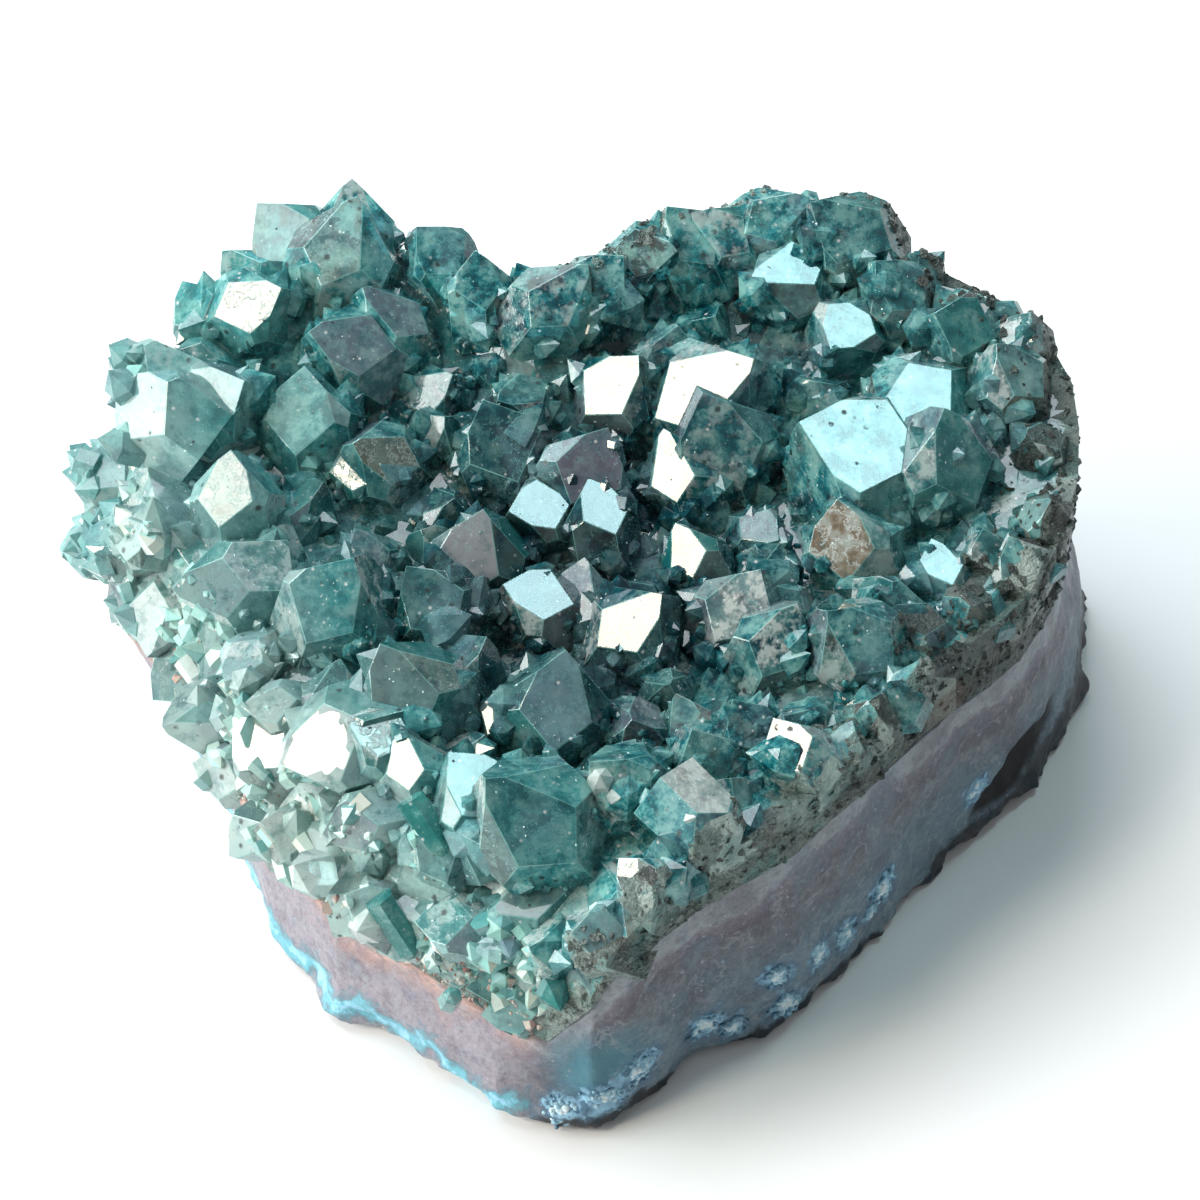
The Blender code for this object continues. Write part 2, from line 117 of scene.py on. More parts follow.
def mathNode(tree, how, first, second):
    node = addNode(tree, "ShaderNodeMath", operation=how)
    for index, given in ((0, first), (1, second)):
        if hasattr(given, "is_output"):
            tree.links.new(given, node.inputs[index])
        else:
            node.inputs[index].default_value = given
    return node.outputs[0]


def cadSurface(name):
    # a welded copy of a frame node's surface
    bm = bmesh.new()
    bm.from_mesh(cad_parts[name].data)
    bmesh.ops.remove_doubles(bm, verts=bm.verts, dist=0.000001)
    bmesh.ops.recalc_face_normals(bm, faces=bm.faces)
    return bm


def newPiece(name, bm, materials, smoothAngle=None):
    mesh = bpy.data.meshes.new(name)
    bm.to_mesh(mesh)
    bm.free()
    mesh.validate()
    piece = bpy.data.objects.new(name, mesh)
    bpy.context.scene.collection.objects.link(piece)
    for material in materials:
        mesh.materials.append(material)
    if smoothAngle is not None:
        mesh.shade_smooth()
        mesh.set_sharp_from_angle(angle=math.radians(smoothAngle))
    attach(piece, "root")
    print("piece", name, len(mesh.polygons), "faces")
    return piece


def spreadPoints(bm, count, rng, keep=lambda face: True):
    # random points over a surface, as many on each face as its area calls for
    bm.faces.ensure_lookup_table()
    faces = [f for f in bm.faces if keep(f)]
    areas = np.cumsum([f.calc_area() for f in faces])
    for i in range(count):
        face = faces[int(np.searchsorted(areas, rng.random() * areas[-1]))]
        weights = [rng.random() for v in face.verts]
        total = sum(weights)
        point = Vector((0, 0, 0))
        for vert, weight in zip(face.verts, weights):
            point += vert.co * (weight / total)
        yield point, face


# the parts of the frame that everything is placed by

crustSurface = cadSurface("crystal_crust")
matrixSurface = cadSurface("matrix")
crustTree = BVHTree.FromBMesh(crustSurface)
matrixTree = BVHTree.FromBMesh(matrixSurface)


def rimOfMatrix():
    # outline of the matrix's upper surface, as ordered plan points
    top = {f for f in matrixSurface.faces if f.normal.z > 0.5}
    edges = [e for e in matrixSurface.edges if sum(f in top for f in e.link_faces) == 1]
    nextTo = {}
    for e in edges:
        for a, b in ((e.verts[0], e.verts[1]), (e.verts[1], e.verts[0])):
            nextTo.setdefault(a, []).append(b)
    loop = [edges[0].verts[0]]
    seen = {loop[0]}
    while True:
        step = [v for v in nextTo[loop[-1]] if v not in seen]
        if not step:
            break
        loop.append(step[0])
        seen.add(step[0])
    return np.array([(v.co.x, v.co.y) for v in loop])


rim = rimOfMatrix()


def insideRim(points):
    # signed distance from the rim for an array of plan points, positive inside
    a = rim
    b = np.roll(rim, -1, axis=0)
    side = b - a
    away = points[:, None, :] - a[None]
    t = np.clip((away * side).sum(-1) / (side * side).sum(-1), 0, 1)
    distance = np.linalg.norm(away - t[..., None] * side, axis=-1).min(1)
    crosses = ((a[:, 1] > points[:, None, 1]) != (b[:, 1] > points[:, None, 1]))
    slope = np.where(np.abs(side[:, 1]) < 1e-12, 1e-12, side[:, 1])
    at = a[:, 0] + (points[:, None, 1] - a[:, 1]) / slope * side[:, 0]
    inside = (crosses & (points[:, None, 0] < at)).sum(1) % 2 == 1
    return np.where(inside, distance, -distance)


def rindHeight(x, y):
    hit = matrixTree.ray_cast(Vector((x, y, 0.08)), Vector((0, 0, -1)))
    return hit[0].z if hit[0] else 0.0


# clear and cloudy dyed quartz

crystalLook = {
    "body": "#2f9aa2",
    "cloud": "#9fe2db",
    # lighter teal, painted on the left side as painted light
    "paintedLitTeal": "#6ccac9",
    "dull": "#69999a",
    "white": "#eef5f1",
    "mist": "#bfe9e3",
    "vivid": "#27908c",
    "cream": "#d9d3c2",
    "steel": "#8fb3c2",
    "sage": "#8fb9aa",
    "shade": "#166771",
    "deep": "#0a3d49",
    # navy and umber: painted shade in the sunken middle
    "navy": "#1b3f50",
    "umber": "#2f2a2e",
    # mauve grey of a painted sheen
    "mauve": "#8c8796",
    # olive gold of a painted reflection
    "olive": "#99836a",
    "speck": "#0d1c22",
    "keeps": (0.26, 0.78, 0.82, 1.0),    # what light keeps on its way, so teal comes with depth
    "density": 160.0,                    # absorption per metre
    "transmission": 0.50,
    "milkyTransmission": 0.2,            # broken, cloudy bits along the left wall
    "ior": 1.544,
    "clearRough": 0.02,
    "frostRough": 0.36,
    "veilSize": 1.8,                     # mm, cloudy veils of healed cracks
    "pitSize": 0.85,                     # mm between pits and dark grains, and between specks of painted highlight
    "mottleSize": 1.7,                   # mm, light and dark blotches inside a crystal
    "frostSize": 1.7,                    # mm
    "hueSize": 6.0,                      # mm, from bluish to sage crystals
    "crackleSize": 0.45,                 # mm, flaws in clusters: painted white glitter and dark flaws
    "clusterSize": 3.4,                  # mm
    "rimWidth": 0.05 * mm,               # worn line along each outer edge, painted lighter, partly as an edge highlight
    "rimFall": 0.022 * mm,
    "edgeLength": 1.4 * mm,
    "footDepth": 0.45 * mm,
    "footReach": 0.75 * mm,
}


def fieldShare(tree, place):
    # shares at a place on the crystal field: the left side and the front left, both lightened as painted light, the
    # sunken middle, darkened as painted shade, and the right side
    parts = addNode(tree, "ShaderNodeSeparateXYZ", links={"Vector": place}).outputs
    across = mathNode(tree, "ADD", parts[0], mathNode(tree, "MULTIPLY", parts[1], 0.4))
    clouds = noiseMm(tree, place, 8.0, 2.0, 0.5)
    wander = mathNode(tree, "MULTIPLY", clouds, 14.0)
    # painted light: share of the left side that is lightened
    left = remap(tree, mathNode(tree, "ADD", across, wander), -22.0, 8.0, 1.0, 0.0)
    right = remap(tree, mathNode(tree, "ADD", parts[0], wander), 20.0, 40.0)
    # painted light: share of the front left that is washed towards near white
    toFront = mathNode(tree, "ADD", mathNode(tree, "MULTIPLY", parts[0], 1.3), mathNode(tree, "MULTIPLY", parts[1], 0.7))
    paintedFrontLight = remap(tree, mathNode(tree, "ADD", toFront, wander), -34.0, -18.0, 1.0, 0.0)
    farLeft = remap(tree, mathNode(tree, "ADD", parts[0], wander), -31.0, -24.0, 0.3, 1.0)
    paintedFrontLight = mathNode(tree, "MULTIPLY", paintedFrontLight, farLeft)
    # painted shade: share of the sunken middle, darkened with distance from its centre
    away = addNode(tree, "ShaderNodeVectorMath", {1: tuple(hollowCentre / mm)}, {0: place},
                   operation="DISTANCE").outputs["Value"]
    paintedHollowShade = remap(tree, mathNode(tree, "ADD", away, wander), 15.0, 32.0, 1.0, 0.0)
    return left, paintedHollowShade, right, paintedFrontLight


def dyedAmethystMaterial(name, transmission, mixed=False):
    # grown quartz faces, flat and glassy: mirror flashes, cloudy veils, teal that deepens with thickness, with painted
    # light, painted shade, painted reflections and painted highlights mixed into the colour
    look = crystalLook
    material, tree, output = newMaterial(name)
    place = placeMm(tree)
    tone = addNode(tree, "ShaderNodeAttribute", attribute_name="facetTone").outputs["Fac"]
    paintedCreaseShade = addNode(tree, "ShaderNodeAttribute", attribute_name="paintedCreaseShade").outputs["Fac"]
    wornRimHighlight = addNode(tree, "ShaderNodeAttribute", attribute_name="wornRimHighlight").outputs["Fac"]
    facetMark = {name: addNode(tree, "ShaderNodeAttribute", attribute_name=name).outputs["Fac"]
                 for name in ("paintedMauveSheen", "paintedGoldReflection", "paintedHighlight", "vividTint", "steelTint", "frostShare",
                              "mattShare", "pitShare")}
    left, paintedHollowShade, right, paintedFrontLight = fieldShare(tree, place)
    veils = noiseMm(tree, place, look["veilSize"], 4.5, 0.72)
    colour = {key: linearColour(value) for key, value in look.items() if str(value).startswith("#")}
    body = ramp(tree, veils, [(0.36, colour["deep"]), (0.43, colour["shade"]), (0.50, colour["body"]),
                              (0.60, colour["cloud"])])
    # painted light: the left side mixed towards a lighter teal
    body = mixColour(tree, mathNode(tree, "MULTIPLY", left, 0.65), body, colour["paintedLitTeal"])
    # painted light: the front left washed towards near white
    body = mixColour(tree, mathNode(tree, "MULTIPLY", paintedFrontLight, 0.72), body, linearColour("#e6f4ee"))
    body = mixColour(tree, mathNode(tree, "MULTIPLY", right, 0.5), body, colour["dull"])
    hue = noiseMm(tree, place, look["hueSize"], 1.5, 0.5)
    # painted shade: the sunken middle mixed towards navy and umber
    hollowShadeTint = mixColour(tree, remap(tree, hue, 0.46, 0.54, 0.0, 0.8), colour["navy"], colour["umber"])
    body = mixColour(tree, mathNode(tree, "MULTIPLY", paintedHollowShade, 0.78), body, hollowShadeTint)
    body = mixColour(tree, remap(tree, hue, 0.56, 0.64, 0.0, 0.35), body, colour["steel"])
    body = mixColour(tree, remap(tree, hue, 0.43, 0.36, 0.0, 0.25), body, colour["sage"])
    # painted reflection: a mauve-grey sheen on marked faces
    body = mixColour(tree, facetMark["paintedMauveSheen"], body, colour["mauve"])
    # painted reflection: a copper-gold flash on marked faces
    body = mixColour(tree, facetMark["paintedGoldReflection"], body, colour["olive"])
    crack = addNode(tree, "ShaderNodeMath", {1: 0.5}, {0: veils}, operation="SUBTRACT").outputs[0]
    crack = addNode(tree, "ShaderNodeMath", links={0: crack}, operation="ABSOLUTE").outputs[0]
    # painted reflection: pale crack lines inside the gold flash
    body = mixColour(tree, mathNode(tree, "MULTIPLY", facetMark["paintedGoldReflection"], remap(tree, crack, 0.0, 0.03, 1.0, 0.0)),
                     body, colour["white"])
    # painted highlight: marked faces washed towards white
    body = mixColour(tree, facetMark["paintedHighlight"], body, colour["white"])
    body = mixColour(tree, facetMark["vividTint"], body, colour["vivid"])
    body = mixColour(tree, facetMark["steelTint"], body, colour["steel"])
    mottle = noiseMm(tree, place, look["mottleSize"], 4.0, 0.68)
    # cloudy blotches of mist, fewer where shade is painted in the sunken middle
    lit = mathNode(tree, "MULTIPLY", remap(tree, mottle, 0.52, 0.68), remap(tree, paintedHollowShade, 0.0, 1.0, 0.42, 0.16))
    body = mixColour(tree, lit, body, colour["mist"])
    body = mixColour(tree, remap(tree, mottle, 0.48, 0.34, 0.0, 0.5), body, colour["shade"])
    body = mixColour(tree, remap(tree, tone, 0.0, 0.4, 0.5, 0.0), body, colour["shade"], "MULTIPLY")
    # painted shade: darker in crevices that nearby crystals close in
    body = mixColour(tree, remap(tree, paintedCreaseShade, 0.4, 1.0, 0.0, 0.65), body, colour["shade"], "MULTIPLY")
    wisp = remap(tree, crack, 0.0, 0.01, 0.6, 0.0)
    body = mixColour(tree, mathNode(tree, "MULTIPLY", wisp, remap(tree, hue, 0.5, 0.56)), body, colour["cloud"])
    # worn rim painted lighter: partly wear, partly a painted edge highlight
    body = mixColour(tree, mathNode(tree, "MULTIPLY", wornRimHighlight, remap(tree, veils, 0.3, 0.6, 0.1, 0.7)),
                     body, colour["cloud"])
    frost = noiseMm(tree, place, look["frostSize"], 3.0, 0.75)
    frosted = mathNode(tree, "MULTIPLY", remap(tree, frost, 0.46, 0.58), facetMark["frostShare"])
    rough = remap(tree, frosted, 0.0, 1.0, look["clearRough"], look["frostRough"])
    body = mixColour(tree, mathNode(tree, "MULTIPLY", frosted, 0.7), body, colour["white"])
    fleck = addNode(tree, "ShaderNodeTexVoronoi", {"Scale": 1.0 / look["pitSize"], "Randomness": 1.0},
                    {"Vector": place})
    lot = addNode(tree, "ShaderNodeSeparateColor", links={"Color": fleck.outputs["Color"]}).outputs[0]
    spot = mathNode(tree, "MULTIPLY", remap(tree, fleck.outputs["Distance"], 0.2, 0.34, 1.0, 0.0),
                    mathNode(tree, "MULTIPLY", remap(tree, lot, 0.70, 0.76), remap(tree, mottle, 0.47, 0.53)))
    spot = mathNode(tree, "MULTIPLY", spot, facetMark["pitShare"])
    body = mixColour(tree, mathNode(tree, "MULTIPLY", spot, 0.85), body, colour["speck"])
    # painted highlight: tiny white specks
    paintedGlint = mathNode(tree, "MULTIPLY", remap(tree, fleck.outputs["Distance"], 0.08, 0.2, 1.0, 0.0),
                     remap(tree, lot, 0.2, 0.14))
    body = mixColour(tree, paintedGlint, body, linearColour("#ffffff"))
    flaw = noiseMm(tree, place, look["crackleSize"], 2.0, 0.8)
    cluster = noiseMm(tree, place, look["clusterSize"], 0.0)
    # painted highlight: white glitter in clustered flaws
    paintedSparkle = mathNode(tree, "MULTIPLY", remap(tree, flaw, 0.64, 0.72), remap(tree, cluster, 0.5, 0.66, 0.1, 0.9))
    body = mixColour(tree, paintedSparkle, body, colour["white"])
    darkFlaw = mathNode(tree, "MULTIPLY", remap(tree, flaw, 0.36, 0.26), remap(tree, cluster, 0.5, 0.36, 0.1, 0.6))
    body = mixColour(tree, darkFlaw, body, colour["deep"])
    if mixed:
        stones = ramp(tree, tone, [(0.0, colour["shade"]), (0.12, colour["vivid"]), (0.24, colour["dull"]),
                                   (0.42, colour["sage"]), (0.64, colour["cloud"]), (0.76, colour["cream"]),
                                   (0.92, colour["white"])])
        body = mixColour(tree, 0.62, body, stones)
    rough = mathNode(tree, "MAXIMUM", rough, mathNode(tree, "MULTIPLY", spot, 0.5))
    rough = mathNode(tree, "MAXIMUM", rough, mathNode(tree, "MULTIPLY", facetMark["mattShare"], 0.5))
    bump = addNode(tree, "ShaderNodeBump", {"Strength": 0.12, "Distance": 0.0005},
                   {"Height": mathNode(tree, "MULTIPLY", flaw, frosted)})
    shader = addNode(tree, "ShaderNodeBsdfPrincipled",
                     {"Transmission Weight": transmission, "IOR": look["ior"], "Metallic": 0.0},
                     {"Base Color": body, "Roughness": rough, "Normal": bump.outputs["Normal"]})
    absorb = addNode(tree, "ShaderNodeVolumeAbsorption", {"Color": look["keeps"], "Density": look["density"]})
    tree.links.new(shader.outputs[0], output.inputs["Surface"])
    tree.links.new(absorb.outputs[0], output.inputs["Volume"])
    return material


groundLook = {
    "navy": "#1b3640",
    "teal": "#3d8486",
    "light": "#93cdc6",
    "white": "#eef6f2",
    "brown": "#5a4a40",
    "grain": 0.7,      # mm, sugar grain
}


def dyedGroundMaterial():
    # fine-grained dyed quartz under the crystals: sugary and matt, lightened on the left as painted light and darkened
    # in the sunken middle as painted shade
    look = groundLook
    material, tree, output = newMaterial("dyedGranularQuartz")
    place = placeMm(tree)
    left, paintedHollowShade, right, paintedFrontLight = fieldShare(tree, place)
    spots = addNode(tree, "ShaderNodeTexVoronoi", {"Scale": 1.0 / look["grain"], "Randomness": 1.0},
                    {"Vector": place})
    patches = noiseMm(tree, place, 4.0, 5.0, 0.65, 0.8)
    fine = noiseMm(tree, place, 0.8, 3.0, 0.7)
    body = ramp(tree, patches, [(0.32, linearColour(look["navy"])), (0.42, linearColour(look["teal"])),
                                (0.52, linearColour(look["light"])), (0.62, linearColour(look["white"]))])
    # painted light: the ground washed towards white on the left
    body = mixColour(tree, mathNode(tree, "MULTIPLY", left, 0.8), body, linearColour(look["white"]))
    # painted shade: the ground darkened towards navy in the sunken middle
    body = mixColour(tree, mathNode(tree, "MULTIPLY", paintedHollowShade, 0.75), body, linearColour(look["navy"]))
    body = mixColour(tree, remap(tree, fine, 0.45, 0.7, 0.0, 0.5), body, linearColour(look["brown"]), "MULTIPLY")
    cell = addNode(tree, "ShaderNodeSeparateColor", links={"Color": spots.outputs["Color"]}).outputs[0]
    body = mixColour(tree, remap(tree, cell, 0.8, 1.0, 0.0, 0.7), body, linearColour(look["white"]))
    height = mathNode(tree, "ADD", spots.outputs["Distance"], mathNode(tree, "MULTIPLY", fine, 0.6))
    bump = addNode(tree, "ShaderNodeBump", {"Strength": 0.8, "Distance": 0.0004}, {"Height": height})
    shader = addNode(tree, "ShaderNodeBsdfPrincipled", {"IOR": 1.544, "Metallic": 0.0},
                     {"Base Color": body, "Roughness": remap(tree, cell, 0.0, 1.0, 0.3, 0.7),
                      "Normal": bump.outputs["Normal"]})
    tree.links.new(shader.outputs[0], output.inputs["Surface"])
    return material


bandLook = {
    "dark": "#2a3334",
    "brown": "#565e59",
    "olive": "#6c7f78",
    "green": "#5d7b76",
    "teal": "#5a8f8b",
    "pale": "#b6cac4",
    "rust": "#7d5a49",
    "rightwardGrey": "#75706b",
    "ash": "#74807b",
    "stainSize": 3.0,     # mm, brown to teal stains
    "pitSize": 0.7,       # mm, dark pits between the grains
    "cutSize": 2.6,       # mm, crystals cut across
    "grainSize": 0.8,     # mm, small grains next to the rind
    "edgeSize": 0.09,     # mm, pale line between them
    "rustAt": (26.3, -9.8, 18.5),
    "darkAt": (25.9, -10.2, 22.7),
}


def nearTo(tree, place, spot, reach, wander):
    # soft-edged patch round a named spot
    away = addNode(tree, "ShaderNodeVectorMath", {1: spot}, {0: place}, operation="DISTANCE").outputs["Value"]
    return remap(tree, mathNode(tree, "ADD", away, mathNode(tree, "MULTIPLY", wander, reach)),
                 reach * 0.9, reach * 1.6, 1.0, 0.0)


def sawnQuartzMaterial():
    # crystals sawn across: flat, satin, each section with its own grey, green or brown and a pale outline
    look = bandLook
    material, tree, output = newMaterial("sawnQuartz")
    place = placeMm(tree)
    above = addNode(tree, "ShaderNodeAttribute", attribute_name="aboveRind").outputs["Fac"]
    warp = addNode(tree, "ShaderNodeTexNoise", {"Scale": 0.9, "Detail": 3.0, "Roughness": 0.6}, {"Vector": place})
    shift = addNode(tree, "ShaderNodeVectorMath", {1: (1.8, 1.8, 1.8)}, {0: warp.outputs["Color"]},
                    operation="MULTIPLY").outputs[0]
    moved = addNode(tree, "ShaderNodeVectorMath", links={0: place, 1: shift}, operation="ADD").outputs[0]
    long = addNode(tree, "ShaderNodeVectorMath", {1: (1.0, 1.0, 0.6)}, {0: moved}, operation="MULTIPLY").outputs[0]
    colour = {key: linearColour(value) for key, value in look.items() if str(value).startswith("#")}
    sizes = []
    for size, vector in ((look["cutSize"], long), (look["grainSize"], moved)):
        cells = addNode(tree, "ShaderNodeTexVoronoi", {"Scale": 1.0 / size, "Randomness": 1.0}, {"Vector": vector})
        edges = addNode(tree, "ShaderNodeTexVoronoi", {"Scale": 1.0 / size, "Randomness": 1.0},
                        {"Vector": vector}, feature="DISTANCE_TO_EDGE")
        lots = addNode(tree, "ShaderNodeSeparateColor", links={"Color": cells.outputs["Color"]})
        line = remap(tree, edges.outputs["Distance"], 0.0, look["edgeSize"] / size, 1.0, 0.0)
        sizes.append((lots.outputs[0], lots.outputs[1], line, edges.outputs["Distance"]))
    big, small = sizes
    bigBody = ramp(tree, big[0], [(0.0, colour["dark"]), (0.1, colour["brown"]), (0.25, colour["green"]),
                                  (0.5, colour["teal"]), (0.85, colour["pale"])])
    stain = noiseMm(tree, place, look["stainSize"], 3.0, 0.6)
    smallBody = ramp(tree, stain, [(0.36, colour["teal"]), (0.44, colour["olive"]), (0.54, colour["ash"]),
                                   (0.64, colour["brown"])])
    pits = noiseMm(tree, place, look["pitSize"], 4.0, 0.7)
    smallBody = mixColour(tree, remap(tree, small[0], 0.0, 1.0, 0.0, 0.45), smallBody, colour["pale"])
    smallBody = mixColour(tree, remap(tree, pits, 0.46, 0.38, 0.0, 0.85), smallBody, colour["dark"])
    smallBody = mixColour(tree, remap(tree, pits, 0.56, 0.66, 0.0, 0.6), smallBody, colour["pale"])
    veils = noiseMm(tree, place, 1.2, 5.0, 0.7, 0.6)
    bigBody = mixColour(tree, remap(tree, veils, 0.4, 0.65, 0.0, 0.5), bigBody, colour["pale"])
    bigBody = mixColour(tree, remap(tree, veils, 0.42, 0.3, 0.0, 0.5), bigBody, colour["dark"])
    bigBody = mixColour(tree, mathNode(tree, "MULTIPLY", big[2], remap(tree, big[1], 0.3, 0.6)),
                        bigBody, colour["pale"])
    wander = noiseMm(tree, place, 2.5, 3.0, 0.6)
    share = remap(tree, mathNode(tree, "ADD", above, mathNode(tree, "MULTIPLY", wander, 0.5)), 0.62, 0.85)
    body = mixColour(tree, share, smallBody, bigBody)
    across = addNode(tree, "ShaderNodeSeparateXYZ", links={"Vector": place}).outputs[0]
    # darker towards the right side of the sawn band
    rightwardDarkening = remap(tree, mathNode(tree, "ADD", across, mathNode(tree, "MULTIPLY", wander, 8.0)), 18.0, 31.0, 0.0, 0.76)
    body = mixColour(tree, rightwardDarkening, body, colour["rightwardGrey"], "MULTIPLY")
    body = mixColour(tree, mathNode(tree, "MULTIPLY", nearTo(tree, place, look["rustAt"], 2.6, veils), 0.7),
                     body, colour["rust"])
    body = mixColour(tree, mathNode(tree, "MULTIPLY", nearTo(tree, place, look["darkAt"], 2.6, veils), 0.85),
                     body, colour["dark"])
    tone = addNode(tree, "ShaderNodeAttribute", attribute_name="facetTone").outputs["Fac"]
    body = mixColour(tree, remap(tree, tone, 0.0, 0.5, 0.5, 0.0), body, colour["dark"])
    body = mixColour(tree, remap(tree, tone, 0.75, 1.0, 0.0, 0.4), body, colour["pale"])
    height = mathNode(tree, "ADD", mathNode(tree, "MULTIPLY", pits, 3.0), mathNode(tree, "MULTIPLY", veils, 1.5))
    height = mathNode(tree, "MULTIPLY", height, remap(tree, share, 0.0, 1.0, 1.0, 0.35))
    bump = addNode(tree, "ShaderNodeBump", {"Strength": 0.9, "Distance": 0.0006}, {"Height": height})
    shader = addNode(tree, "ShaderNodeBsdfPrincipled", {"IOR": 1.544, "Metallic": 0.0},
                     {"Base Color": body, "Roughness": remap(tree, small[1], 0.0, 1.0, 0.12, 0.5),
                      "Normal": bump.outputs["Normal"]})
    tree.links.new(shader.outputs[0], output.inputs["Surface"])
    return material


def rustyQuartzMaterial():
    # iron-stained small crystals along the left wall: rosy, cream and grey grains with a little gloss
    material, tree, output = newMaterial("ironStainedQuartz")
    place = placeMm(tree)
    tone = addNode(tree, "ShaderNodeAttribute", attribute_name="facetTone").outputs["Fac"]
    fine = noiseMm(tree, place, 0.9, 4.0, 0.65)
    body = ramp(tree, tone, [(0.0, linearColour("#5d5350")), (0.22, linearColour("#a67c74")),
                             (0.45, linearColour("#bd9a90")), (0.65, linearColour("#ddd5ca")),
                             (0.82, linearColour("#9ab3ab")), (0.95, linearColour("#6c9a97"))])
    body = mixColour(tree, remap(tree, fine, 0.45, 0.65, 0.0, 0.4), body, linearColour("#8c7a72"), "MULTIPLY")
    bump = addNode(tree, "ShaderNodeBump", {"Strength": 0.2, "Distance": 0.0003}, {"Height": fine})
    shader = addNode(tree, "ShaderNodeBsdfPrincipled", {"IOR": 1.544, "Metallic": 0.0, "Transmission Weight": 0.15},
                     {"Base Color": body, "Roughness": remap(tree, fine, 0.4, 0.6, 0.12, 0.4),
                      "Normal": bump.outputs["Normal"]})
    tree.links.new(shader.outputs[0], output.inputs["Surface"])
    return material


rindLook = {
    "top": "#8c9298",
    "pale": "#969da3",
    "mauve": "#77707b",
    "plum": "#5b5560",
    "grey": "#6c7178",
    "slate": "#5f6d77",
    "steel": "#6c808c",
    "night": "#3a4550",
    "blueBlack": "#1b242c",
    "umber": "#4a4244",
    # near black, painted as shade in the recess
    "hole": "#120f14",
    "dyeBlue": "#3f6786",
    "sky": "#9ccbe4",
    "cyan": "#6bb4c4",
    "teal": "#3a7b8b",
    "salmon": "#c4a094",
    "rosy": "#a48a86",
    "lilac": "#938e98",
    "mist": "#b3b4bb",
    "edgeLength": 0.55 * mm,
    "swell": 0.25 * mm,
    "chip": 0.9 * mm,        # depth of the broken lower lip
    "closeGap": 0.35 * mm,
    "tealAt": (1.3, -33.5, 6.5),
    "recessAt": (33.6, -2.8, 5.0),
    "recessSize": (6.5, 6.5, 2.4),     # half sizes, mm
}
# sky-blue blotches low on the sawn side, place and radius in mm
blotches = [((17.1, -22.3, 5.6), 1.7), ((14.0, -25.0, 6.4), 1.5), ((14.8, -24.6, 2.8), 1.9),
            ((22.2, -16.1, 5.6), 1.9), ((21.2, -17.2, 4.4), 1.1), ((19.1, -19.5, 4.6), 1.6),
            ((8.8, -27.6, 4.0), 1.8), ((10.9, -26.6, 2.6), 1.4), ((29.5, -6.9, 6.3), 1.6),
            ((4.1, -31.7, 4.6), 2.0), ((1.6, -33.4, 3.2), 2.2), ((-1.4, -33.8, 2.2), 1.9)]


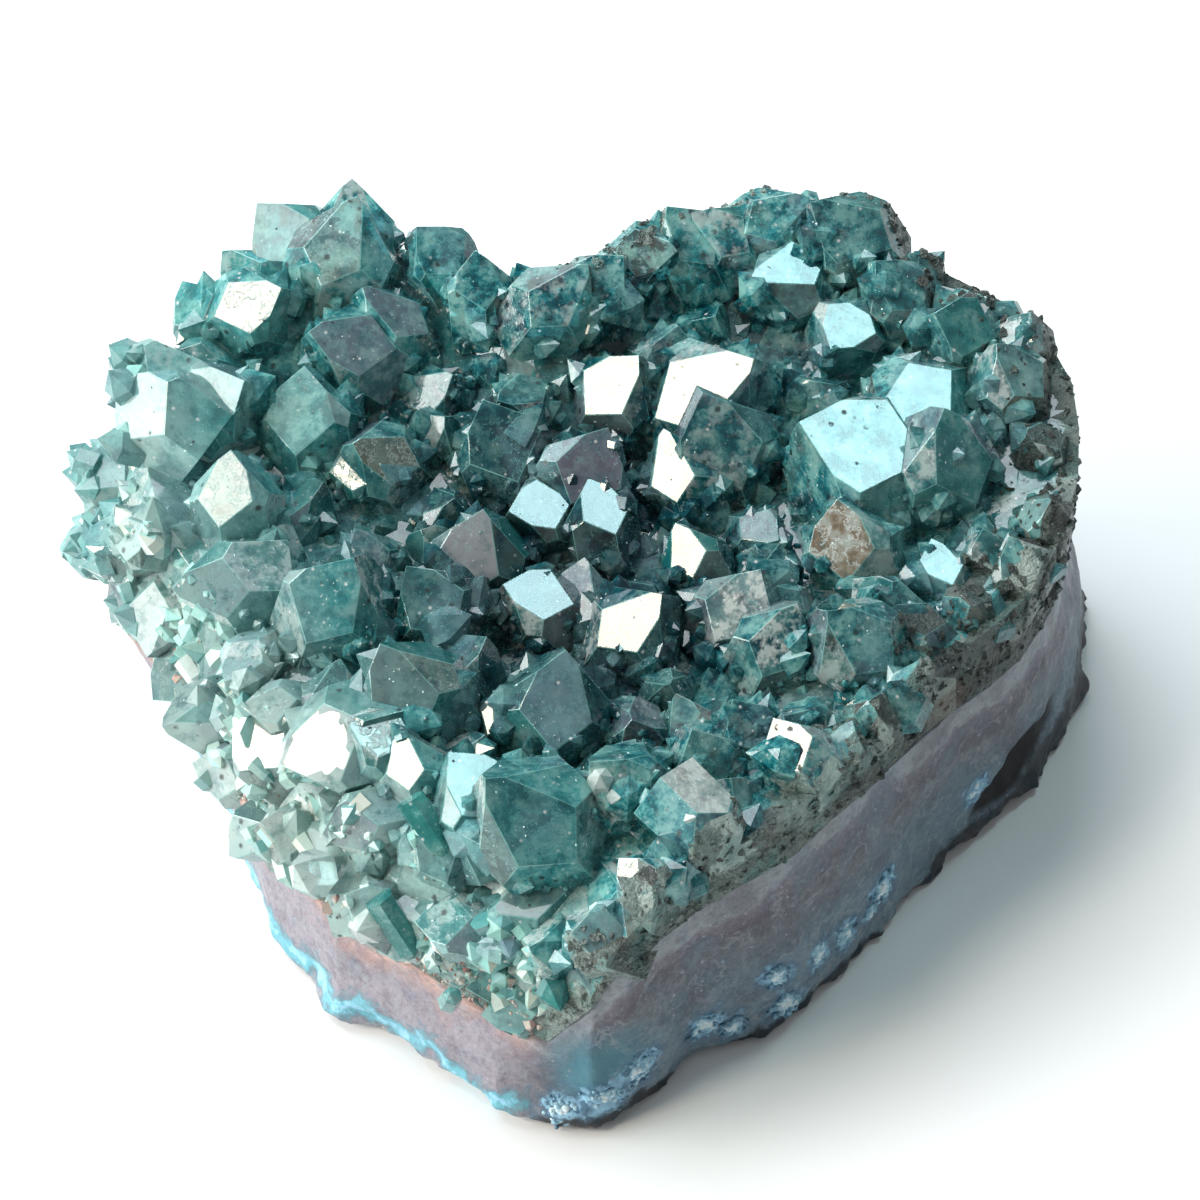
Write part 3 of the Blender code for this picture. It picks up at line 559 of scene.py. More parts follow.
def chalcedonyMaterial():
    # sawn chalcedony: satin and cloudy, with blue dye blotches, a dark basalt lip, a rosy left wall and painted shade
    # in the recess
    look = rindLook
    material, tree, output = newMaterial("sawnChalcedony")
    place = placeMm(tree)
    mark = {name: addNode(tree, "ShaderNodeAttribute", attribute_name=name).outputs["Fac"]
            for name in ("blotch", "lip", "strip", "rosyWall", "recess", "belowTop")}
    colour = {key: linearColour(value) for key, value in look.items() if str(value).startswith("#")}
    clouds = noiseMm(tree, place, 6.0, 5.0, 0.6, 0.2)
    streaks = noiseMm(tree, place, 1.7, 6.0, 0.72, 0.3)
    fine = noiseMm(tree, place, 0.45, 5.0, 0.8)
    crumbs = noiseMm(tree, place, 1.3, 5.0, 0.65, 0.2)
    sugar = addNode(tree, "ShaderNodeTexVoronoi", {"Scale": 1.0 / 0.5, "Randomness": 1.0}, {"Vector": place})
    lot = addNode(tree, "ShaderNodeSeparateColor", links={"Color": sugar.outputs["Color"]}).outputs[0]
    # layers parallel to the top: a pale line, brownish mauve, then blue grey
    layerAt = mathNode(tree, "ADD", mark["belowTop"], remap(tree, clouds, 0.3, 0.7, -0.16, 0.16))
    body = ramp(tree, layerAt, [(0.0, colour["top"]), (0.10, colour["pale"]), (0.17, colour["mauve"]),
                                (0.36, colour["plum"]), (0.55, colour["grey"]), (0.75, colour["slate"]),
                                (1.0, colour["steel"])])
    body = mixColour(tree, remap(tree, clouds, 0.52, 0.62, 0.0, 0.5), body, colour["steel"])
    body = mixColour(tree, remap(tree, clouds, 0.45, 0.36, 0.0, 0.45), body, colour["plum"])
    body = mixColour(tree, remap(tree, streaks, 0.5, 0.66, 0.0, 0.4), body, colour["slate"])
    body = mixColour(tree, remap(tree, streaks, 0.44, 0.34, 0.0, 0.35), body, colour["pale"])
    body = mixColour(tree, remap(tree, fine, 0.48, 0.36, 0.0, 0.5), body, colour["night"])
    body = mixColour(tree, remap(tree, fine, 0.54, 0.68, 0.0, 0.55), body, colour["pale"])
    fleck = mathNode(tree, "MULTIPLY", remap(tree, sugar.outputs["Distance"], 0.14, 0.3, 1.0, 0.0),
                     remap(tree, lot, 0.9, 0.95))
    body = mixColour(tree, mathNode(tree, "MULTIPLY", fleck, 0.7), body, colour["mist"])
    wallAt = mathNode(tree, "ADD", mark["belowTop"], remap(tree, clouds, 0.3, 0.7, -0.2, 0.2))
    wall = ramp(tree, wallAt, [(0.0, colour["salmon"]), (0.14, colour["rosy"]), (0.34, colour["lilac"]),
                               (0.75, colour["lilac"]), (1.0, colour["mist"])])
    wall = mixColour(tree, remap(tree, streaks, 0.47, 0.6, 0.0, 0.55), wall, colour["mauve"])
    wall = mixColour(tree, remap(tree, fine, 0.48, 0.38, 0.0, 0.4), wall, colour["plum"])
    wall = mixColour(tree, remap(tree, fine, 0.55, 0.68, 0.0, 0.5), wall, colour["mist"])
    body = mixColour(tree, mathNode(tree, "MULTIPLY", mark["rosyWall"], 0.95), body, wall)
    body = mixColour(tree, mathNode(tree, "MULTIPLY", nearTo(tree, place, look["tealAt"], 4.6, streaks), 0.75),
                     body, colour["teal"])
    # lobed patches with a paler edge, as in agate
    lobe = addNode(tree, "ShaderNodeMath", {1: 0.5}, {0: clouds}, operation="SUBTRACT").outputs[0]
    lobe = addNode(tree, "ShaderNodeMath", links={0: lobe}, operation="ABSOLUTE").outputs[0]
    lobe = mathNode(tree, "MULTIPLY", remap(tree, lobe, 0.0, 0.02, 0.6, 0.0), remap(tree, streaks, 0.42, 0.55))
    body = mixColour(tree, lobe, body, colour["pale"])
    # dye that soaked in: deep blue with soft edges, lighter sugar in it
    cut = mathNode(tree, "ADD", mark["blotch"], mathNode(tree, "MULTIPLY", crumbs, 1.5))
    body = mixColour(tree, remap(tree, cut, 0.85, 1.35, 0.0, 0.75), body, colour["dyeBlue"])
    cut = mathNode(tree, "ADD", cut, mathNode(tree, "MULTIPLY", lot, 0.5))
    body = mixColour(tree, remap(tree, cut, 1.4, 1.85, 0.0, 0.85), body, colour["sky"])
    edge = mathNode(tree, "ADD", mark["lip"], mathNode(tree, "MULTIPLY", crumbs, 0.7))
    body = mixColour(tree, remap(tree, edge, 0.72, 0.9, 0.0, 0.93), body, colour["blueBlack"])
    browned = mathNode(tree, "MULTIPLY", remap(tree, edge, 0.8, 0.95), remap(tree, streaks, 0.46, 0.6, 0.0, 0.7))
    body = mixColour(tree, browned, body, colour["umber"])
    band = mathNode(tree, "ADD", mark["strip"], mathNode(tree, "MULTIPLY", crumbs, 1.5))
    body = mixColour(tree, remap(tree, band, 1.15, 1.4, 0.0, 0.5), body, colour["teal"])
    body = mixColour(tree, remap(tree, band, 1.36, 1.6, 0.0, 0.85), body, colour["cyan"])
    body = mixColour(tree, remap(tree, mathNode(tree, "ADD", band, mathNode(tree, "MULTIPLY", lot, 0.3)),
                                 1.75, 1.95, 0.0, 0.8), body, colour["sky"])
    # painted shade: near black in the recess
    body = mixColour(tree, mark["recess"], body, colour["hole"])
    rough = remap(tree, streaks, 0.3, 0.7, 0.30, 0.55)
    height = mathNode(tree, "ADD", mathNode(tree, "MULTIPLY", fine, 0.4), streaks)
    bump = addNode(tree, "ShaderNodeBump", {"Strength": 0.35, "Distance": 0.0005}, {"Height": height})
    shader = addNode(tree, "ShaderNodeBsdfPrincipled",
                     {"IOR": 1.54, "Metallic": 0.0, "Specular IOR Level": 0.25, "Subsurface Weight": 0.1,
                      "Subsurface Scale": 0.001, "Subsurface Radius": (1.0, 0.9, 0.9)},
                     {"Base Color": body, "Roughness": rough, "Normal": bump.outputs["Normal"]})
    tree.links.new(shader.outputs[0], output.inputs["Surface"])
    return material


# the crust, from the frame's own crystals

def shortenEdges(bm, longest, wanted, rounds=5):
    for i in range(rounds):
        edges = [e for e in bm.edges if e.calc_length() > longest and wanted(e)]
        if not edges:
            break
        bmesh.ops.subdivide_edges(bm, edges=edges, cuts=1)
        bmesh.ops.triangulate(bm, faces=[f for f in bm.faces if len(f.verts) > 3])


# faces that stand out in the photograph: a place on each in mm, and what it looks like; the gold and mauve marks are
# painted reflections and the white marks painted highlights
facetMarks = [
    ((19.3, 1.4, 24.5), {"paintedGoldReflection": 0.9, "frostShare": 0.4}),
    ((11.4, -4.8, 23.9), {"paintedHighlight": 0.2, "frostShare": 1.0}),
    ((-6.8, -23.7, 25.2), {"paintedHighlight": 0.4, "frostShare": 1.0}),
    ((-14.5, 10.8, 24.8), {"paintedGoldReflection": 0.6}),
    ((-7.9, 1.0, 23.5), {"paintedMauveSheen": 0.75, "paintedHighlight": 0.25}),
    ((-18.1, 18.5, 28.5), {"paintedMauveSheen": 0.6}),
    ((-14.8, 22.1, 29.2), {"paintedMauveSheen": 0.6}),
    ((0.7, 9.3, 24.4), {"paintedMauveSheen": 0.7}),
    ((-25.5, 21.4, 30.4), {"paintedGoldReflection": 0.3, "paintedHighlight": 0.4, "frostShare": 0.5}),
    ((-23.5, 28.5, 31.1), {"mattShare": 1.0, "paintedHighlight": 0.35}),
    ((-24.9, 29.6, 31.5), {"mattShare": 1.0, "paintedHighlight": 0.35}),
    ((-23.5, -13.0, 17.8), {"paintedHighlight": 0.8, "frostShare": 1.0}),
    ((-18.6, -16.6, 22.1), {"paintedHighlight": 0.5}),
    ((-14.2, -16.3, 23.0), {"paintedHighlight": 0.3, "frostShare": 0.8}),
    ((-32.6, 1.7, 15.8), {"mattShare": 0.8, "paintedHighlight": 0.6, "frostShare": 0.6}),
    ((-34.1, 2.3, 14.8), {"mattShare": 0.8, "paintedHighlight": 0.5}),
    ((2.0, 16.3, 26.8), {}),
    ((9.2, 14.8, 27.3), {}),
    ((6.7, 9.9, 24.1), {}),
    ((7.6, 2.3, 22.4), {}),
    ((3.4, -5.6, 23.5), {}),
    ((20.6, 8.9, 27.5), {"pitShare": 1.0}),
    ((24.7, 12.9, 27.7), {"pitShare": 1.0}),
    ((15.8, 25.5, 30.5), {}),
    ((-3.2, 6.4, 23.2), {"paintedMauveSheen": 0.3}),
    ((1.4, 6.6, 23.1), {"paintedMauveSheen": 0.3}),
    ((-3.2, -2.6, 22.8), {"paintedMauveSheen": 0.4}),
    ((-21.3, 13.2, 26.8), {"mattShare": 1.0, "vividTint": 0.25}),
    ((-25.7, 5.3, 26.2), {"mattShare": 0.5, "paintedHighlight": 0.25, "frostShare": 0.6}),
    ((27.0, 7.1, 27.6), {"vividTint": 0.5}),
    ((6.8, -25.5, 26.3), {"paintedGoldReflection": 0.4, "paintedHighlight": 0.5, "frostShare": 1.0}),
    ((-23.9, -11.4, 18.8), {"paintedHighlight": 0.9}),
    ((-2.4, -15.1, 22.8), {"steelTint": 0.5}),
    ((-1.4, -24.4, 24.8), {"vividTint": 0.3}),
]


def tintFacets(bm, rng):
    # random tones first, then the marked faces; the gold and mauve tints paint reflections and the white wash paints
    # highlights, on random faces too
    names = ("facetTone", "paintedMauveSheen", "paintedGoldReflection", "paintedHighlight", "vividTint", "steelTint", "frostShare",
             "mattShare", "pitShare")
    layer = {name: bm.faces.layers.float.new(name) for name in names}
    for face in bm.faces:
        face[layer["facetTone"]] = rng.random()
        face[layer["paintedMauveSheen"]] = 0.5 if rng.random() < 0.07 else 0.0
        face[layer["paintedGoldReflection"]] = 0.3 if rng.random() < 0.03 else 0.0
        face[layer["paintedHighlight"]] = 0.35 * rng.random() if rng.random() < 0.15 else 0.0
        face[layer["vividTint"]] = rng.uniform(0.3, 0.7) if rng.random() < 0.14 else 0.0
        face[layer["frostShare"]] = rng.random() if rng.random() < 0.35 else 0.0
        face[layer["pitShare"]] = 1.0 if face[layer["facetTone"]] > 0.3 else 0.3
    tree = BVHTree.FromBMesh(bm)
    bm.faces.ensure_lookup_table()
    for place, looks in facetMarks:
        face = bm.faces[tree.find_nearest(Vector(place) * mm)[2]]
        face[layer["facetTone"]] = 0.6
        for name in names[1:]:
            face[layer[name]] = looks.get(name, 0.0)


def outlineFacets(bm, rng):
    # each flat face gets its own look and a narrow worn rim, which falls away to the outer edges; the rim is painted
    # lighter, partly as wear and partly as a painted edge highlight
    bmesh.ops.dissolve_limit(bm, angle_limit=0.012, verts=bm.verts, edges=bm.edges)
    tintFacets(bm, rng)
    wornRimHighlight = bm.faces.layers.float.new("wornRimHighlight")
    inset = bm.faces.layers.int.new("inset")
    width = crystalLook["rimWidth"]
    broad = [f for f in bm.faces if f.calc_area() > 200 * width * width]
    made = set(bmesh.ops.inset_individual(bm, faces=broad, thickness=width, use_even_offset=True)["faces"])
    for face in made:
        face[inset] = 1
    bm.normal_update()
    fall = {}
    for edge in bm.edges:
        if edge.calc_face_angle_signed(0.0) > 0.25:
            for face in edge.link_faces:
                if face in made:
                    face[wornRimHighlight] = 1.0
            for vert in edge.verts:
                fall[vert] = vert.normal * crystalLook["rimFall"]
    for vert, step in fall.items():
        vert.co -= step
    bmesh.ops.triangulate(bm, faces=[f for f in bm.faces if len(f.verts) > 3])


hemisphere = [Vector((math.cos(a) * s, math.sin(a) * s, math.sqrt(1 - s * s)))
              for s, n in ((0.35, 3), (0.8, 7)) for a in [2 * math.pi * (k + 0.3) / n for k in range(n)]]


def closedIn(point, normal, reachOut=6.0 * mm):
    # share of the sky over a point that nearby crystals cover
    turn = normal.to_track_quat("Z", "Y")
    start = point + normal * 0.05 * mm
    return sum(crustTree.ray_cast(start, turn @ d, reachOut)[0] is not None for d in hemisphere) / len(hemisphere)


def bandDepth(place):
    # how far the broken, sawn quartz reaches in from the rim: deepest on the right, none on the left
    p = place / mm
    if p.x < -3 or (p.y > 10 and p.x < 24):
        return 0.0
    wander = noise.noise(Vector((p.x * 0.22, p.y * 0.22, p.z * 0.15)))
    toRight = min(1.0, max(0.0, p.x / 26)) * 2.4 + min(1.0, max(0.0, (p.x - 20) / 8)) * 2.2
    return max(0.0, 1.0 + toRight + 1.6 * wander) * mm


def naturalWall(place):
    # the left side, broken by hand and not sawn
    return place.x < -3 * mm and place.y < 15 * mm


def tuckFoot(bm):
    # the thin foot of the crust goes in behind the rosy wall
    foot = []
    for vert in bm.verts:
        inner = vert.co * 0.965
        if naturalWall(vert.co) and vert.co.z < rindHeight(inner.x, inner.y) - crystalLook["footDepth"]:
            foot.append(vert)
    distance = insideRim(np.array([v.co[:2] for v in foot]))
    for vert, far in zip(foot, distance):
        if -crystalLook["footReach"] < far < 0.3 * mm:
            vert.co.x *= 0.96
            vert.co.y *= 0.96


def makeCrust(clear, band):
    rng = random.Random(3)
    bm = crustSurface.copy()
    outlineFacets(bm, rng)
    inset = bm.faces.layers.int["inset"]
    tone = bm.faces.layers.float["facetTone"]
    shortenEdges(bm, crystalLook["edgeLength"], lambda e: all(f[inset] == 0 for f in e.link_faces))
    tuckFoot(bm)
    # painted shade: the share of sky that nearby crystals cover, which darkens the colour in crevices
    paintedCreaseShade = bm.verts.layers.float.new("paintedCreaseShade")
    above = bm.verts.layers.float.new("aboveRind")
    bm.normal_update()
    for vert in bm.verts:
        vert[paintedCreaseShade] = closedIn(vert.co, vert.normal)
        inner = vert.co * 0.965
        vert[above] = min(1.0, max(0.0, (vert.co.z - rindHeight(inner.x, inner.y)) / (6 * mm)))
    centres = [f.calc_center_median() for f in bm.faces]
    distance = insideRim(np.array([c[:2] for c in centres]))
    for face, middle, far in zip(bm.faces, centres, distance):
        steep, near = (0.15, 0.25 * mm) if naturalWall(middle) else (0.4, 0.8 * mm)
        onWall = abs(face.normal.z) < steep and abs(far) < near
        under = face.normal.z < -0.5 and far > 0 and middle.z < 19.5 * mm
        whole = face.normal.z > 0.3 and face[tone] > 0.12    # upper faces that the saw left
        depth = bandDepth(middle)
        cut = 0.0 < depth and far < depth * (0.25 if whole else 1.0)
        face.material_index = 1 if onWall or under or cut else 0
    piece = newPiece("crystalField", bm, [clear, band])
    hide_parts("crystal_crust")
    return piece


# the granular ground that the crystals stand on, seen through them

groundSize = {"grid": 1.0 * mm, "valleyReach": 3, "below": 0.7 * mm, "inset": 1.0 * mm}


def makeGround(material):
    step = groundSize["grid"]
    low = rim.min(0)
    high = rim.max(0)
    xs = np.arange(low[0], high[0] + step, step)
    ys = np.arange(low[1], high[1] + step, step)
    gridX, gridY = np.meshgrid(xs, ys, indexing="ij")
    inside = insideRim(np.stack([gridX.ravel(), gridY.ravel()], 1)).reshape(gridX.shape)
    top = np.full(gridX.shape, np.nan)
    for i in range(len(xs)):
        for j in range(len(ys)):
            if inside[i, j] > 0:
                hit = crustTree.ray_cast(Vector((xs[i], ys[j], 0.08)), Vector((0, 0, -1)))
                if hit[0]:
                    top[i, j] = hit[0].z
    reach = groundSize["valleyReach"]
    padded = np.pad(top, reach, constant_values=np.nan)
    windows = np.stack([padded[i:i + top.shape[0], j:j + top.shape[1]]
                        for i in range(2 * reach + 1) for j in range(2 * reach + 1)])
    with np.errstate(all="ignore"):
        valley = np.nanpercentile(windows, 12, axis=0)
        padded = np.pad(valley, reach, constant_values=np.nan)
        windows = np.stack([padded[i:i + top.shape[0], j:j + top.shape[1]]
                            for i in range(2 * reach + 1) for j in range(2 * reach + 1)])
        valley = np.nanmean(windows, axis=0)
    bm = bmesh.new()
    verts = {}
    for i in range(len(xs)):
        for j in range(len(ys)):
            if inside[i, j] > groundSize["inset"] and np.isfinite(valley[i, j]):
                z = min(valley[i, j], top[i, j]) - groundSize["below"]
                z = max(z, rindHeight(xs[i], ys[j]) + 1.0 * mm)
                verts[i, j] = bm.verts.new((xs[i], ys[j], z))
    for (i, j) in verts:
        corners = [(i, j), (i + 1, j), (i + 1, j + 1), (i, j + 1)]
        if all(c in verts for c in corners):
            bm.faces.new([verts[c] for c in corners])
    loose = [v for v in bm.verts if not v.link_faces]
    bmesh.ops.delete(bm, geom=loose, context="VERTS")
    topFaces = list(bm.faces)
    made = bmesh.ops.extrude_face_region(bm, geom=topFaces)
    for item in made["geom"]:
        if isinstance(item, bmesh.types.BMVert):
            item.co.z = rindHeight(item.co.x, item.co.y) + 0.6 * mm
    bmesh.ops.recalc_face_normals(bm, faces=bm.faces)
    return newPiece("granularGround", bm, [material], 40)


# small crystals and sugar grains in the gaps

smallLook = {
    "tries": 4200,
    "radius": (0.35 * mm, 1.3 * mm),
    "cover": 0.42,          # least share of covered sky where they settle
    "middleTries": 900,
    "middleRadius": (1.1 * mm, 2.1 * mm),
    "middleCover": (0.26, 0.5),
    "clearOfMarks": 3.2 * mm,
    "grainTries": 26000,
    "grain": (0.15 * mm, 0.55 * mm),
    "outerTries": 60,       # sprays that stick out past the far left
    "outerRadius": (0.7 * mm, 1.5 * mm),
}


def onOuterLeft(face):
    middle = face.calc_center_median()
    return middle.x < -34 * mm and face.normal.x < -0.35 and -0.2 < face.normal.z < 0.8 and middle.z > 9 * mm


def addSmallCrystal(bm, layer, tip, turn, radius, length, rng):
    # a six-sided crystal with an uneven point
    shrink = rng.uniform(0.85, 1.0)
    rows = []
    for z, r in ((-length, 1.05), (-radius * rng.uniform(0.9, 1.2), shrink)):
        rows.append([bm.verts.new(tip + turn @ Vector((math.cos(k * math.pi / 3) * radius * r,
                                                       math.sin(k * math.pi / 3) * radius * r, z)))
                     for k in range(6)])
    off = Vector((rng.uniform(-0.35, 0.35), rng.uniform(-0.35, 0.35), 0)) * radius
    point = bm.verts.new(tip + turn @ off)
    made = [bm.faces.new(list(reversed(rows[0])))]
    for k in range(6):
        n = (k + 1) % 6
        made.append(bm.faces.new((rows[0][k], rows[0][n], rows[1][n], rows[1][k])))
        made.append(bm.faces.new((rows[1][k], rows[1][n], point)))
    base = rng.random()
    for face in made:
        face[layer] = min(1.0, max(0.0, base * 0.7 + rng.random() * 0.3))


def sticksOut(tip):
    # a tip outside the rim, low on a wall
    return insideRim(np.array([tip[:2]]))[0] < -0.1 * mm and tip.z - rindHeight(tip.x * 0.95, tip.y * 0.95) < 4 * mm


def makeSmallCrystals(material):
    rng = random.Random(11)
    bm = bmesh.new()
    stray = []
    tone = bm.faces.layers.float.new("facetTone")
    count = 0
    for point, face in spreadPoints(crustSurface, smallLook["tries"], rng, lambda f: f.normal.z > -0.3):
        cover = closedIn(point, face.normal)
        if cover < smallLook["cover"] and rng.random() > 0.01:
            continue
        low, high = smallLook["radius"]
        radius = low + (high - low) * rng.random() ** 2
        lean = Vector((rng.gauss(0, 0.35), rng.gauss(0, 0.35), rng.gauss(0, 0.35)))
        axis = (face.normal * 0.7 + Vector((0, 0, 0.5)) + lean).normalized()
        turn = axis.to_track_quat("Z", "Y") @ Quaternion((0, 0, 1), rng.uniform(0, 2))
        rise = radius * rng.uniform(0.5, 1.3)
        tip = point + axis * rise
        addSmallCrystal(bm, tone, tip, turn, radius, rise + radius, rng)
        if sticksOut(tip):
            bm.verts.ensure_lookup_table()
            stray += bm.verts[-13:]
        count += 1
    # fewer, larger ones on the flanks, clear of the marked faces
    marks = [Vector(place) * mm for place, looks in facetMarks]
    for point, face in spreadPoints(crustSurface, smallLook["middleTries"], rng, lambda f: f.normal.z > 0.0):
        cover = closedIn(point, face.normal)
        low, high = smallLook["middleCover"]
        near = min((point - mark).length for mark in marks)
        if not low < cover < high or near < smallLook["clearOfMarks"]:
            continue
        radius = rng.uniform(*smallLook["middleRadius"])
        lean = Vector((rng.gauss(0, 0.25), rng.gauss(0, 0.25), rng.gauss(0, 0.25)))
        axis = (face.normal * 0.8 + Vector((0, 0, 0.5)) + lean).normalized()
        turn = axis.to_track_quat("Z", "Y") @ Quaternion((0, 0, 1), rng.uniform(0, 2))
        rise = radius * rng.uniform(0.5, 0.9)
        tip = point + axis * rise
        addSmallCrystal(bm, tone, tip, turn, radius, rise + radius, rng)
        if sticksOut(tip):
            bm.verts.ensure_lookup_table()
            stray += bm.verts[-13:]
        count += 1
    for point, face in spreadPoints(crustSurface, smallLook["outerTries"], rng, onOuterLeft):
        radius = rng.uniform(*smallLook["outerRadius"])
        lean = Vector((rng.gauss(0, 0.3), rng.gauss(0, 0.3), rng.gauss(0, 0.3)))
        axis = (face.normal + Vector((-0.4, 0, 0.3)) + lean).normalized()
        turn = axis.to_track_quat("Z", "Y") @ Quaternion((0, 0, 1), rng.uniform(0, 2))
        rise = radius * rng.uniform(0.6, 1.5)
        addSmallCrystal(bm, tone, point + axis * rise, turn, radius, rise + radius, rng)
        count += 1
    bmesh.ops.delete(bm, geom=stray, context="VERTS")
    print("small crystals", count)
    return newPiece("smallCrystals", bm, [material])


def addGrain(bm, middle, size, rng):
    turn = Quaternion(Vector((rng.gauss(0, 1), rng.gauss(0, 1), rng.gauss(0, 1))).normalized(), rng.uniform(0, 3))
    scale = Vector((rng.uniform(0.7, 1.2), rng.uniform(0.7, 1.2), rng.uniform(0.8, 1.5))) * size
    ends = [Vector((1, 0, 0)), Vector((0, 1, 0)), Vector((-1, 0, 0)), Vector((0, -1, 0)),
            Vector((0, 0, 1)), Vector((0, 0, -1))]
    verts = [bm.verts.new(middle + turn @ Vector((e.x * scale.x, e.y * scale.y, e.z * scale.z))) for e in ends]
    for k in range(4):
        n = (k + 1) % 4
        bm.faces.new((verts[k], verts[n], verts[4]))
        bm.faces.new((verts[n], verts[k], verts[5]))


def makeGrains(material):
    # broken bits of crystal all over the sawn quartz, thickest just above the rind
    rng = random.Random(5)
    bm = bmesh.new()
    tone = bm.faces.layers.float.new("facetTone")
    spots = list(spreadPoints(crustSurface, smallLook["grainTries"], rng))
    distance = insideRim(np.array([point[:2] for point, face in spots]))
    count = 0
    for (point, face), far in zip(spots, distance):
        deep = max(0.7 * mm, bandDepth(point))
        if face.normal.z < -0.4 or far > deep or point.x < -2 * mm:
            continue
        if face.normal.z > 0.4 and far > 0.3 * deep and rng.random() < 0.6:
            continue
        low, high = smallLook["grain"]
        radius = low + (high - low) * rng.random() ** 2
        lean = Vector((rng.gauss(0, 1), rng.gauss(0, 1), rng.gauss(0, 1)))
        axis = (face.normal * 0.6 + lean).normalized()
        turn = axis.to_track_quat("Z", "Y")
        length = radius * rng.uniform(1.0, 2.0)
        addSmallCrystal(bm, tone, point + axis * length * 0.45 - face.normal * radius * 0.35, turn, radius, length, rng)
        count += 1
    print("grains", count)
    return newPiece("sugarGrains", bm, [material])


# tiny grains on the crystal faces: bright frost and dark mineral dots

speckLook = {
    "frost": 5200,
    "frostSize": (0.03 * mm, 0.13 * mm),
    "dots": 1300,
    "dotSize": (0.07 * mm, 0.19 * mm),
}


def speckMaterial(name, colourText, rough):
    # one plain tone is enough at a tenth of a millimetre, with a slight cloud in it
    material, tree, output = newMaterial(name)
    fine = noiseMm(tree, placeMm(tree), 0.6, 2.0, 0.5)
    body = mixColour(tree, remap(tree, fine, 0.4, 0.6, 0.0, 0.5), linearColour(colourText), linearColour("#9fc9c6"))
    shader = addNode(tree, "ShaderNodeBsdfPrincipled", {"IOR": 1.544, "Metallic": 0.0, "Roughness": rough},
                     {"Base Color": body})
    tree.links.new(shader.outputs[0], output.inputs["Surface"])
    return material


def makeSpecks(frost, dark):
    rng = random.Random(33)
    bm = bmesh.new()
    for index, count, sizes in ((0, speckLook["frost"], speckLook["frostSize"]),
                                (1, speckLook["dots"], speckLook["dotSize"])):
        for point, face in spreadPoints(crustSurface, count, rng, lambda f: f.normal.z > -0.2):
            if noise.noise(point / mm * 0.45) < rng.uniform(-0.25, 0.35):
                continue
            first = len(bm.faces)
            size = sizes[0] + (sizes[1] - sizes[0]) * rng.random() ** 2
            addGrain(bm, point - face.normal * size * 0.4, size, rng)
            bm.faces.ensure_lookup_table()
            for made in bm.faces[first:]:
                made.material_index = index
    return newPiece("faceSpecks", bm, [frost, dark])


# single crystals that the photograph shows low on the front: place, axis, radius and length in mm, tint

# the pale tint washes a crystal towards white as a painted highlight
frontCrystals = [
    ("steelTint", (-4.9, -30.0, 16.1), (0.1, -0.9, 0.3), 1.9, 2.6, 1.0),
    ("vividTint", (-10.5, -23.6, 20.7), (0.55, -0.5, -0.7), 1.1, 5.2, 0.9),
    ("vividTint", (-12.8, -26.2, 13.1), (0.5, -0.35, -0.8), 1.1, 5.6, 0.9),
    ("vividTint", (-9.0, -31.5, 12.2), (0.2, -0.4, 0.9), 0.8, 2.6, 0.6),
    ("vividTint", (-1.5, -32.6, 13.6), (0.3, -0.9, 0.2), 1.4, 2.0, 0.7),
    ("paintedHighlight", (-15.2, -26.2, 13.5), (-0.4, -0.7, 0.5), 1.6, 3.2, 0.8),
    ("paintedHighlight", (-19.5, -23.0, 15.5), (-0.5, -0.5, 0.6), 1.7, 3.4, 0.9),
    ("steelTint", (0.9, -31.6, 16.2), (0.3, -0.8, 0.4), 1.5, 2.4, 0.6),
    ("paintedHighlight", (1.3, -22.6, 25.0), (-0.1, -0.4, 0.9), 1.0, 2.0, 0.9),
    ("paintedHighlight", (2.4, -23.4, 24.0), (0.2, -0.6, 0.8), 0.7, 1.8, 0.8),
    ("paintedHighlight", (7.4, -26.5, 25.2), (0.3, -0.6, 0.7), 0.6, 1.8, 0.8),
    ("vividTint", (15.6, -19.4, 24.4), (0.5, -0.5, 0.7), 1.3, 2.6, 0.8),
]


def makeFrontCrystals(clear):
    rng = random.Random(29)
    bm = bmesh.new()
    tone = bm.faces.layers.float.new("facetTone")
    layers = {name: bm.faces.layers.float.new(name) for name in ("paintedHighlight", "vividTint", "steelTint")}
    for name, place, axis, radius, length, share in frontCrystals:
        first = len(bm.faces)
        axis = Vector(axis).normalized()
        turn = axis.to_track_quat("Z", "Y") @ Quaternion((0, 0, 1), rng.uniform(0, 2))
        addSmallCrystal(bm, tone, Vector(place) * mm + axis * length * 0.5 * mm, turn, radius * mm, length * mm, rng)
        bm.faces.ensure_lookup_table()
        for face in bm.faces[first:]:
            face[layers[name]] = share
    return newPiece("frontCrystals", bm, [clear])


# the natural left wall: leaning shards over a rosy, grainy foot

leftWall = {
    "shards": 1150,
    "shardRadius": (0.3 * mm, 1.4 * mm),
    "depth": 3.2 * mm,
    "overhang": -0.35 * mm,        # how far a tip may stand out past the rim
    "longShards": 150,
    "longRadius": (0.4 * mm, 0.9 * mm),
    "along": Vector((0.6, -0.5, -0.4)),   # they lie along the wall, tips towards the point of the heart
    "grains": 7000,
    "grainRadius": (0.15 * mm, 0.5 * mm),
    "rosyHeight": 4.5 * mm,
}


def onLeftWall(face):
    middle = face.calc_center_median()
    outward = face.normal.x * 0.75 + face.normal.y * (0.66 if middle.y < 2 * mm else 0.0)
    return middle.x < -3 * mm and middle.y < 15 * mm and face.normal.z < 0.75 and \
        outward < -0.3 and middle.z > 5 * mm


